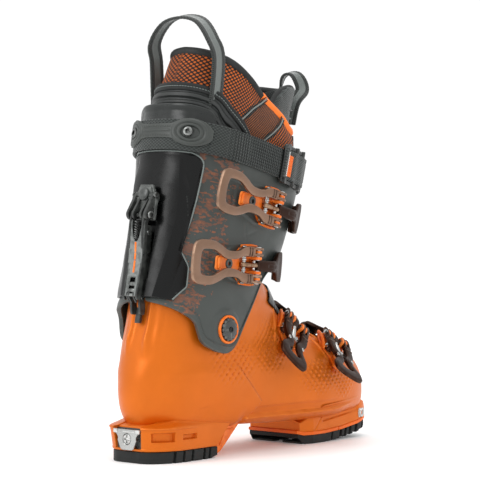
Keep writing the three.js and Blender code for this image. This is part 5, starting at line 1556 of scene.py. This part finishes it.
# ------------------------------------------------------------------ inside the shell
LINING_OUTER, LINING_INNER, LINING_THICK = 6.4, 11.2, 4.2     # insets from the foot form, and the wall
BED_Z, BED_THICK = 39.6, 2.4


def foot_lining():
    """The lower liner: a thin boot inside the shell."""
    s = np.linspace(0.045, 0.985, 90)[:, None]
    turn = np.linspace(0, 2 * math.pi, 96, endpoint=False)[None, :]
    p, inner = (foot(s, turn, inset).transpose(1, 0, 2) for inset in (LINING_OUTER, LINING_INNER))
    return sheet(p, unit(inner - p), LINING_THICK, 0.0, wrap=True, rim=1.6)


build("foot_lining", foot_lining(), LINER_CLOTH, "clog", ["liner_foot"])


def insole():
    """The footbed: its outline follows the cavity, its edges rise and the heel is cupped."""
    sides = {1: [], -1: []}
    turns = np.linspace(0.02, math.pi - 0.02, 400)
    for s in np.linspace(0.1, 0.86, 60):
        for side in (1, -1):
            ring = foot(s, turns * side, 12.6)
            k = np.argmin(np.abs(ring[:, 2] - 42) + (ring[:, 2] > 90) * 99)
            sides[side].append(ring[k, :2])
    a, b = np.array(sides[1]), np.array(sides[-1])
    keep = np.r_[True, np.diff(a[:, 0]) < -0.4]
    a, b = a[keep], b[keep]
    rows = np.linspace(0, 1, 30)[None, :, None]
    grid = a[:, None] * (1 - rows) + b[:, None] * rows
    x = grid[..., 0]
    rim = np.abs(rows[0, :, 0] * 2 - 1)[None, :] ** 4
    lift = 1.6 * rim + 1.2 * np.exp(-((x + 10) / 45) ** 2) * (rows[0, :, 0] < 0.5) * (1 - rim)
    p = np.concatenate([grid, np.full(x.shape + (1,), BED_Z)], -1)
    n = np.broadcast_to([0, 0, 1.0], p.shape)
    return sheet(p, n, BED_THICK + lift, 0.0, rim=0.9, uv=grid)


BED_CLOTH = woven("footbed_cloth", rgb(0x33302D), rgb(0x5F5348), 1.4)
build("footbed_sheet", insole(), BED_CLOTH, "clog", ["footbed"])


# ------------------------------------------------------------------ pull loops
def loop_material():
    """Flat webbing: diagonal black binding along both edges, a satin middle whose pale grey is painted sheen."""
    p = Paint("loop_webbing")
    u, v, _ = p.split(p.uv)
    across = p.math("ABSOLUTE", p.math("SUBTRACT", v, 0.5))
    rim = p.step(across, 0.23, 0.26)
    twill = p.math("SINE", p.math("MULTIPLY", p.math("ADD", u, p.math("MULTIPLY", across, 1.6)), 10 * math.pi / 0.9))
    lines = p.math("SINE", p.math("MULTIPLY", v, 120.0))
    # painted sheen: the middle's pale greys, lighter than the border, stand in for the satin's sheen; the lengthwise
    # lines alternate between them
    middle = p.mix(p.step(lines, -0.6, 0.6), rgb(0x4C5250), rgb(0x7A807D))
    border = p.mix(p.step(twill, -0.3, 0.5), rgb(0x0E1010), rgb(0x363B38))
    height = p.math("ADD", p.math("MULTIPLY", twill, rim), p.math("MULTIPLY", lines, 0.3))
    return p.done(p.mix(rim, middle, border), p.step(rim, 0.0, 1.0, 0.42, 0.8), p.bump(height, 0.5, 0.0004),
                  Sheen_Weight=0.3, Sheen_Roughness=0.4)


LOOP = loop_material()


def pull_loop(legs, apex, width, tilt):
    """A band of webbing from two legs on one side, over its apex, to the same legs on the other side."""
    base, top = np.array(legs[1], float), np.array(apex, float)
    rise = lambda y, z: np.array([top[0], y * base[1], base[2] + (top[2] - base[2]) * z])
    half = [*map(np.array, legs), rise(0.93, 0.45), rise(0.55, 0.88)]
    points = half + [top] + [q * [1, -1, 1] for q in half[::-1]]
    path = spline(points, 150)
    run = unit(np.gradient(path, axis=0))
    u = np.linspace(0, 1, 150)
    wide = np.stack([1 + 0 * u, tilt * (2 * u - 1), 0.2 + 0 * u], 1)
    wide = unit(wide - run * np.sum(wide * run, 1, keepdims=True))
    v = np.linspace(0, 1, 21)
    p = path[:, None] + wide[:, None] * ((v - 0.5) * width)[None, :, None]
    n = np.broadcast_to(np.cross(run, wide)[:, None], p.shape)
    rim = smooth(0.22, 0.28, np.abs(v - 0.5))[None, :]
    ripple = 0.16 * np.sin(np.arange(150)[:, None] * 2.3 + np.abs(v - 0.5)[None, :] * 26) * rim
    length = np.r_[0, np.cumsum(np.linalg.norm(np.diff(path, axis=0), axis=1))]
    uv = np.stack([length[:, None] + 0 * v, 10 * v[None, :] + 0 * length[:, None]], -1)
    return sheet(p, n, 0.75 + 0.45 * rim + ripple, -(0.75 + 0.45 * rim + ripple), rim=0.4, uv=uv)


build("calf_pull_loop", pull_loop([(-76.5, -33.4, 303), (-75, -36.5, 344)], (-80, 0, 383), 15, 0), LOOP, "cuff",
      ["rear_pull_loop"], sharp=60)
build("tongue_pull_webbing", pull_loop([liner(13, 207, -9.2), liner(13, 227, -8.4)], (69, 0, 342), 12, 2.5), LOOP,
      "cuff", ["tongue_pull_loop"], sharp=60)


# ------------------------------------------------------------------ walk lever
def spine(w, y, t):
    """A point of the lever mechanism, which follows the back of the cuff."""
    w, y, t = (np.asarray(v, float) for v in (w, y, t))
    return shaft_point(w + 13.5 - 6 * smooth(40, 110, t), y, t - 4 - 6 * smooth(10, 30, t) - 12 * smooth(50, 95, t))


def flat_piece(outline, depth, w0, lean=0.0, holes=(), bevel=0.4, n=180):
    """A plate whose outline is [y, t], standing out backwards from w0 by depth."""
    verts, faces = prism(even(np.asarray(outline, float), n), 0, depth, holes, bevel)
    return spine(w0 - verts[:, 2] - lean * (verts[:, 1] - 60), verts[:, 0], verts[:, 1]), faces


def side_piece(outline, y0, y1, holes=(), bevel=0.35, n=160):
    """A plate whose outline is [w, t], standing between y0 and y1."""
    verts, faces = prism(even(np.asarray(outline, float), n), y0, y1, holes, bevel)
    return spine(verts[:, 0], verts[:, 2], verts[:, 1]), faces


def crosswise(profile, w, t, side=1, n=24):
    """A turned piece about the sideways axis at (w, t); profile is [radius, y]."""
    verts, faces = lathe(profile, n)
    at = spine(w, 0, t)
    return np.stack([verts[:, 0] + at[0], verts[:, 2] * side, verts[:, 1] + at[2]], 1), faces


def capsule(w0, t0, r0, w1, t1, r1, n=14):
    """Outline round two eyes."""
    d = np.array([w1 - w0, t1 - t0], float)
    a = math.atan2(d[1], d[0])
    return [(w + r * math.cos(a + q), t + r * math.sin(a + q))
            for w, t, r, q0 in ((w1, t1, r1, -math.pi / 2), (w0, t0, r0, math.pi / 2))
            for q in np.linspace(q0, q0 + math.pi, n)]


AXLE_W, AXLE_T = -84.5, 104                 # the walk lever's hinge
AXLE_HOLE = disc(2.1, 20, (AXLE_W, AXLE_T))
LEVER_GREY = metal("lever_grey", rgb(0x6A6D6B), 0.36, worn=rgb(0x9EA19F))
BRACKET_GREY = moulded("bracket_grey", rgb(0x303331), 0.32, worn=rgb(0x767976), depth=0.05, coat=0.2)

hexagon = rounded([(-12.6, 101), (12.6, 101), (12.9, 117), (7.2, 131.2), (-7.2, 131.2), (-12.9, 117)], 1.2)
bracket = Part().add(*flat_piece(hexagon, 3.0, -74.2, 0.08))
raised = rounded([(-10.6, 103), (10.6, 103), (10.8, 116.6), (6.2, 129.0), (-6.2, 129.0), (-10.8, 116.6)], 1.0)
bracket.add(*flat_piece(raised, 4.2, -74.2, 0.08))
build("lock_bracket", bracket, BRACKET_GREY, "cuff", ["walk_bracket"], sharp=30)
boss = lathe([[0, 3.4], [4.6, 3.2], [5.4, 2.6], [5.6, 0.4], [6.6, 0.0], [0, 0.0]], 36)
build("lock_boss", Part().add(*boss).moved(basis(spine(-82.6, 0, 122.5), [0, 1, 0], -FORWARD)), CATCH, "cuff")
links = Part()
for s in (-1, 1):
    for y0, y1, eyes in ((8.6, 11.4, (-80.0, 121, 4.4, -86.0, 104, 4.6)),
                         (3.4, 5.6, (-81.5, 116, 3.4, -85.8, 104, 4.2))):
        links.add(*side_piece(capsule(*eyes), *sorted((s * y0, s * y1)), [AXLE_HOLE]))
build("lock_links", links, BLACK_MATT, "cuff", sharp=30)
pins = Part()
for s in (-1, 1):
    pins.add(*crosswise([[1.1, 12.9], [1.2, 13.3], [2.1, 13.3], [2.5, 12.9], [2.5, 11.6], [2.0, 11.4], [2.0, -1],
                         [0, -1]], -82.3, 122, s))
build("lock_cross_pin", pins, BOLT, "cuff", ["walk_bracket_pin"])
pivot = Part()
for s in (-1, 1):
    pivot.add(*crosswise([[0, 12.2], [1.6, 12.2], [1.8, 13.2], [3.0, 13.2], [3.4, 12.6], [3.4, 11.9], [2.0, 11.7],
                          [2.0, -0.5], [0, -0.5]], AXLE_W, AXLE_T, s))
build("lever_axle", pivot, BOLT, "cuff", ["walk_lever_pin"])

# the bar between the cuff and the shell
bar = Part()
rail = rounded([(-73.9, 24), (-73.9, 94), (-76.5, 97.5), (-80.0, 96), (-80.6, 60), (-80.2, 22), (-79.5, 13),
                (-76.4, 2.5), (-71.2, 2.8), (-71.0, 8.5), (-74.0, 18)], 1.6)
for s in (-1, 1):
    bar.add(*side_piece(rail, *sorted((s * 3.6, s * 6.0))))
floor_plate = rounded([(-3.9, 26), (3.9, 26), (3.9, 94), (-3.9, 94)], 1.0)
bar.add(*flat_piece(floor_plate, 2.2, -73.9))
for t in (32, 44, 80, 88):                  # rungs between the bar's two rails
    bar.add(*crosswise([[0, 3.8], [1.7, 3.8], [1.7, -3.8], [0, -3.8]], -78.4, t, 1, 16))
build("lock_bar_rails", bar, BLACK_MATT, "cuff", ["walk_bar"], sharp=30)
rivets = Part()
for s in (-1, 1):
    for w, t, y in ((-77.4, 62, 5.9), (-76.8, 20, 5.9), (-77.6, 90, 5.9), (-79.8, 112, 11.3)):
        head = [[0, y + 0.2], [0.8, y + 0.2], [1.0, y + 0.8], [1.9, y + 0.7], [2.2, y + 0.1], [2.2, y - 0.6],
                [0, y - 0.6]]
        rivets.add(*crosswise(head, w, t, s, 20))
build("lock_rivets", rivets, BOLT, "cuff")

# the lever: two cheeks and a bowed plate with a notch for the spring
notch = [(-8.1, 18), (-8.3, 60), (-8.4, 86), (-8.3, 100), (-6.2, 100), (-5.2, 92), (-3.2, 82), (-1.2, 77)]
notch += [(-y, t) for y, t in notch[::-1]]
slot = rounded([(-3.4, 23), (3.4, 23), (3.0, 38.5), (-3.0, 38.5)], 0.8)
plate = Part().add(*flat_piece(rounded(notch, 1.0), 2.6, -84.6, 0.012, [slot], 0.7, 300))
build("lever_plate", plate, LEVER_GREY, "walk_lever", ["walk_lever"], sharp=40)
cheeks = Part()
outline = rounded([(-88.3, 106), (-84.4, 108.6), (-80.8, 105), (-82.2, 96), (-82.0, 60), (-81.2, 20), (-82, 14.5),
                   (-85.6, 13.5), (-87.4, 18), (-87.0, 60), (-88.6, 98)], 2.2)
for s in (-1, 1):
    cheeks.add(*side_piece(outline, *sorted((s * 6.3, s * 8.3)), [AXLE_HOLE]))
hook = [(-86.8, 17), (-84.6, 18), (-82.6, 14), (-82.4, 8), (-80, 5), (-81.5, 3), (-85.2, 7), (-87.2, 12)]
for y in (-4.6, 0.9, 3.0):
    cheeks.add(*side_piece(rounded([(w, t + 8) for w, t in hook], 1.2), y, y + 1.7))
build("lever_cheeks", cheeks, BLACK_MATT, "walk_lever", sharp=35)
stripe = Part()
for t0, t1 in ((42.5, 53), (53.8, 61.5), (62.2, 75.5)):
    stripe.add(*flat_piece([(-0.95, t0), (0.95, t0), (0.95, t1), (-0.95, t1)], 0.5, -86.95, 0.012, (), 0.12, 60))
build("lever_stripe", stripe, BRIGHT, "walk_lever")
bolts = Part()
for w, t in ((-84.4, 33), (-84.4, 27)):     # rollers behind the lever's slot
    bolts.add(*crosswise([[0, 5.9], [1.9, 5.9], [2.2, 5.4], [2.2, -5.4], [1.9, -5.9], [0, -5.9]], w, t, 1, 20))
build("lever_rollers", bolts, BOLT, "walk_lever")
turns = np.linspace(0, 8.5 * 2 * math.pi, 340)
t = np.interp(turns, [0, turns[-1]], [80, 100])
coil = spine(-83.4 + 1.9 * np.sin(turns), 3.0 + (t - 80) * 0.06 + 1.5 * np.cos(turns), t)
build("lock_spring", tube(coil, 0.55, 8), BOLT, "cuff", ["walk_spring"])

# the bar in the shell that the walk bar's hook takes, on an arc about the ankle hinge
r0, r1 = 56.4, 59.6
a = np.radians(np.linspace(161, 174, 24))
ray = np.stack([np.cos(a), np.sin(a)], 1)
anchor = prism(np.concatenate([r0 * ray, r1 * ray[::-1]]), -2.9, 2.9, bevel=0.5)
build("lock_anchor_bar", sideways(anchor, 1, PIVOT[0], PIVOT[2]), BLACK_MATT, "clog", ["walk_lock_anchor"])


# ------------------------------------------------------------------ sole
ROCKER = np.array([[44, 1.5], [50, 0], [78, 0], [102, 1.6], [126, 5], [149.5, 10.5]])


def rocker(dz):
    """The forefoot's rolling underside, raised by dz."""
    return lambda x: np.interp(x, ROCKER[:, 0], ROCKER[:, 1]) + dz


def toe_plan(half, front, back, corner, n=420):
    return heel_plan(half, -front, -back, corner, n)[::-1] * [-1, 1]


def toe_relief(x, y, z):
    """A recessed facet and a step in the forefoot block's wall."""
    d = np.zeros_like(x)
    side = np.abs(y) > 16
    # recessed facet on the side, and a step where the block leaves the shell
    d -= 1.3 * in_box(x, z - 0.12 * (x - 80), 74, 128, 20.0, 29.5, 0.8) * side
    d += 0.7 * bump_at(z - 0.12 * (x - 80), 31.4, 0.9, 0.8) * smooth(60, 76, x)
    d -= 0.8 * (1 - smooth(0, 1.4, np.abs(x - 66 - (z - 16) * 0.8))) * side * (z < 27)
    return d


TOE_TOP = ([46, 60, 110, 120, 139, 143, 152], [28, 36, 40, 40, 34, 28.6, 28.4])


def narrow_rear(g):
    """Draws the forefoot block's rear corners in."""
    g = g.copy()
    g[..., 1] *= np.interp(g[..., 0], [44, 60], [0.84, 1.0])
    return g


def toe_shape(g):
    """Draws in the block's rear and runs its top into the shell's side."""
    x, y, z = np.moveaxis(narrow_rear(g), -1, 0)
    top = np.interp(x, *TOE_TOP)
    skin = skin_y(x, z, np.sign(y)) + 0.3 * np.sign(y)
    run = smooth(top - 9, top - 1, z) * (np.abs(y) > 12) * (1 - smooth(118, 130, x))
    return np.stack([x, y * (1 - run) + skin * run, z], -1)


build("toe_block", sole_block(toe_plan(34.5, 151.5, 46, 24), 10.6, 34, toe_relief, 40, rocker(10.6), toe_shape,
                              top=lambda x: np.interp(x, *TOE_TOP)), ORANGE, "clog")


def tread_relief(cuts, step):
    """Notches in the tread's wall at x0, w wide on either side, leaning by step."""
    def relief(x, y, z):
        d = np.zeros_like(x)
        for x0, w in cuts:
            d -= 2.6 * (1 - smooth(w, w + 0.5, np.abs(x - x0 - (z - 3) * step))) * (np.abs(y) > 12)
        return d
    return relief


def tread(plan, z1, cuts, under, top, step=0.15, shape=None):
    """A lugged rubber layer."""
    return sole_block(plan, 0, z1, tread_relief(cuts, step), 26, under, shape, top)


HEEL_CUTS = ((-128, 1.3), (-117, 0.9), (-106, 0.9), (-91, 1.0), (-84, 0.8))


def heel_under(x):
    return 2.4 * smooth(-84, -72, x)


def heel_tread_shape(g):
    """Draws in the heel's back."""
    g = g.copy()
    back = smooth(-112, -146, g[..., 0])
    g[..., 1] *= 1 - 0.09 * back
    g[..., 0] += 2.0 * back
    return g


build("heel_lugs", tread(heel_plan(34.2, -151.2, -74, 29, 520), 10, HEEL_CUTS, heel_under, lambda x: 10 + 0 * x,
                         shape=heel_tread_shape), RUBBER, "clog", ["heel_tread"], sharp=35)
lugs = Part()
for x0, x1, near, far in ((-142, -131, 4, 20), (-126, -119, 6, 30), (-115, -108, 6, 30), (-104, -93, 6, 30),
                          (-89, -78, 6, 28)):
    for y0, y1 in ((-far, -near), (near, far)):
        verts, faces = prism(rounded([(x0, y0), (x1, y0), (x1, y1), (x0, y1)], 2.0), 0, 1.4, bevel=0.5)
        lugs.add(verts + [0, 0, 0.02 + float(heel_under((x0 + x1) / 2))], faces)
build("heel_lug_pads", lugs, RUBBER, "clog")

TOE_CUTS = ((88, 0.7), (101, 1.3), (108, 1.0), (115, 1.2), (124, 1.4), (135, 1.2))


def toe_under(x):
    """The rolling underside with a chamfer at the back and teeth towards the toe."""
    chamfer = 4.2 * (1 - smooth(44, 52, x))
    teeth = 1.6 * sum((1 - smooth(1.6, 2.4, np.abs(x - c))) for c in (104, 113, 122, 132, 142))
    return rocker(0)(x) + chamfer + teeth


build("toe_lugs", tread(toe_plan(34.2, 150.6, 44.2, 24, 620), 8, TOE_CUTS, toe_under, rocker(8.2), 0.2, narrow_rear),
      RUBBER, "clog", ["toe_tread"], sharp=35)
lugs = Part()
for x0, x1 in ((50, 60), (64, 74), (78, 86), (92, 99), (106, 111), (116, 120), (126, 130), (136, 140)):
    for y0, y1 in ((-29, -5), (5, 29)):
        k = min(1.0, (152 - x1) / 26)
        verts, faces = prism(rounded([(x0, y0 * k), (x1, y0 * k), (x1, y1 * k), (x0, y1 * k)], 1.6), 0, 2.0, bevel=0.5)
        verts[:, 2] += rocker(0.05)(verts[:, 0])
        lugs.add(verts, faces)
build("toe_lug_pads", lugs, RUBBER, "clog")


def plate_relief(x, y, z):
    return 0.35 * np.ones_like(x) - 0.9 * (np.abs(x - 97) < 0.7) * (np.abs(y) > 10)


build("toe_bright_layer", sole_block(toe_plan(34.6, 151.2, 43.4, 24, 420), 8, 10, plate_relief, 14, rocker(8.1),
                                     narrow_rear, rocker(11.2)), BRIGHT, "clog", ["toe_sole_plate"],
      sharp=35)

# the wedge in front of the heel, with a raised panel on each side
outline = [(-76, 3.4), (-69, 2.0), (-65.0, 2.4), (-61.0, 4.6), (-37.5, 25.5), (-37.6, 28.5), (-76, 28.5)]
wedge = Part().add(*sideways(prism(rounded(outline, 1.2), -27.5, 27.5, bevel=0.8)))
panel = rounded([(-64.5, 9), (-60.6, 9), (-45.5, 22.8), (-56.5, 22.8)], 1.2)
for s in (-1, 1):
    wedge.add(*sideways(prism(panel, 27.2, 28.3, bevel=0.35), s))
build("heel_breast_wedge", wedge, BRIGHT, "clog", ["heel_wedge"], sharp=35)
corner = [(-74.5, 2.2), (-70.0, 2.6), (-63.6, 9.6), (-66.5, 11.8), (-70.5, 11.6), (-74.5, 9.8)]
build("heel_breast_rubber", sideways(prism(rounded(corner, 1.0), -27.2, 27.2, bevel=0.6)), RUBBER, "clog",
      sharp=35)


# ------------------------------------------------------------------ binding inserts
def facing_back(solid, x):
    """A solid drawn in (y, z) and pushed backwards from x."""
    verts, faces = solid
    return np.stack([x - verts[:, 2], verts[:, 0], verts[:, 1]], 1), faces


def box_outline(x0, x1, y0, y1, radius):
    return rounded([(x0, y0), (x1, y0), (x1, y1), (x0, y1)], radius)


INSERT_X, BORE_Z = -147.4, 20.4             # the heel insert's back plane, and its bore's height
crown = [(-15.0, 28.6), (-15.0, 25.6), (-12.2, 24.6), (-10.2, 21.6), (-10.8, 19.4), (-7.4, 12.0), (-5.6, 11.0)]
outline = crown + [(-y, z) for y, z in crown[::-1]]
insert = Part()
insert.add(*facing_back(prism(rounded(outline[::-1], 0.6), 0, 4.6, [disc(4.7, 40, (0, BORE_Z))], 0.5), INSERT_X))
for y in (-12.6, 12.6):
    insert.add(*facing_back(prism(box_outline(y - 2.4, y + 2.4, 25.4, 28.8, 0.7), 4.2, 5.3, bevel=0.3), INSERT_X))
insert.add(*facing_back(prism(box_outline(-9.5, 9.5, 26.2, 27.2, 0.4), 4.2, 5.0, bevel=0.2), INSERT_X))
build("heel_binding_insert", insert, STEEL, "clog", ["heel_tech_insert"], sharp=30)
cross = []
for k in range(4):
    c, s = math.cos(k * math.pi / 2), math.sin(k * math.pi / 2)
    cross += [(x * c - y * s, x * s + y * c + BORE_Z) for x, y in ((0.8, -0.8), (3.1, -0.8), (3.1, 0.8))]
screw = Part().add(*facing_back(prism(disc(4.3, 48, (0, BORE_Z)), 0.6, 4.4, [np.array(cross)], 0.35), INSERT_X))
screw.add(*facing_back(prism(disc(3.6, 32, (0, BORE_Z)), 0.4, 3.0, bevel=0.2), INSERT_X))
build("heel_binding_screw", screw, STEEL, "clog", ["heel_insert_screw"], sharp=30)
seat = prism(box_outline(-16, 16, 11, 29.6, 2.0), -1.2, 0.6, bevel=0.3)
build("heel_insert_seat", facing_back(seat, -147.2), BLACK_MATT, "clog")
surround = rounded([(-5.4, -4.4), (5.4, -4.4), (6.4, 0), (5.4, 4.4), (-5.4, 4.4), (-6.4, 0)], 1.2)
for s, word in SIDES:
    cup = Part().add(*lathe([[0, -0.7], [1.0, -0.9], [2.2, 0.2], [2.8, 1.5], [3.9, 1.6], [4.3, 1.0], [4.3, -1.5],
                             [0, -1.5]], 36))
    cup.add(*prism(surround, -1.4, 0.5, [disc(4.1, 36)], 0.3))
    cup.moved(basis(np.array([134, s * 33.4, 23.0]), [1, 0, 0], [0.25, s, 0]))
    build(f"toe_binding_cup_{word}", cup, STEEL, "clog", [f"toe_tech_insert_{word}"])


# ------------------------------------------------------------------ instep
def instep_shield():
    """Gloss black cover over the throat: a raised middle, a step and cross ribs."""
    s = np.linspace(0.585, 0.775, 110)[None, :]
    turn = np.radians(np.linspace(-40, 40, 130))[:, None]
    edge_in = smooth(0.585, 0.605, s + 0.00035 * np.degrees(turn) ** 2 * 0.1)
    p = foot(s, turn + 0 * s)
    n = outward(normals(p), p, foot(s, math.pi + turn + 0 * s))
    a = np.abs(np.degrees(turn)) + 0 * s
    out = 2.0 + 1.6 * (1 - smooth(14, 24, a)) * edge_in
    out = out - 0.8 * bump_at(s, 0.70, 0.002, 0.004) - 0.8 * bump_at(s, 0.655, 0.002, 0.004)
    out = out + 0.6 * bump_at(s, 0.61, 0.006, 0.006)
    return sheet(p, n, out, 0.25, rim=0.7)


build("instep_shield", instep_shield(), BLACK, "clog", ["instep_cover"], sharp=30)


# the shell's overlap: lips that cross the instep beside each buckle, and the ribbed bands between them
def on_foot(path, lift):
    """Points out from the foot form at [s, degrees] knots."""
    q = spline(np.array(path, float), 90)
    p = foot(q[:, 0], np.radians(q[:, 1]))
    out = unit(p - foot(q[:, 0], np.radians(q[:, 1]), 2.0))
    return p + out * lift


for name, path, r in (("rear", [(0.60, 30), (0.60, 0), (0.60, -30), (0.59, -46), (0.58, -60), (0.574, -68)], 1.4),
                      ("front", [(0.345, 40), (0.35, 0), (0.347, -30), (0.34, -44), (0.334, -56), (0.33, -64)], 1.3)):
    radius = np.r_[np.linspace(0.4, r, 12), np.full(60, r), np.linspace(r, 0.4, 18)]
    build(f"overlap_lip_{name}", tube(on_foot(path, 0.6), radius, 12, squash=1.2), ORANGE, "clog")
for name, s0, s1 in (("rear", 0.475, 0.535), ("front", 0.235, 0.285)):
    s = np.linspace(s0, s1, 26)[None, :]
    turn = np.radians(np.linspace(-34, 30, 70))[:, None]
    p = foot(s, turn + 0 * s)
    n = unit(p - foot(s, turn + 0 * s, 2.0))
    ribs = 0.35 * (np.sin(s * 700) > 0.2) + 0 * turn
    build(f"instep_band_{name}", sheet(p, n, 1.3 + ribs, 0.2, rim=0.5), BLACK, "clog", sharp=40)


# ------------------------------------------------------------------ looks of the CAD nodes that stay
SLOT_MATERIALS = {"bright_orange": BRIGHT, "orange_shell": ORANGE, "cuff_grey": CUFF_GREY, "black_panel": BLACK,
                  "spoiler_grey": SPOILER, "rubber": RUBBER, "webbing": WEBBING, "liner_mesh": DOTS,
                  "liner_black": LINER_CLOTH, "foam": FOAM, "bronze": BRONZE, "dark_brown": BROWN, "steel": STEEL,
                  "black_metal": BLACK_MATT}
for row in frame["record"]["subparts"]:
    for material_slot in frame["nodes"].get(row["node"]).material_slots:
        material_slot.material = SLOT_MATERIALS[row["material_slot"]]
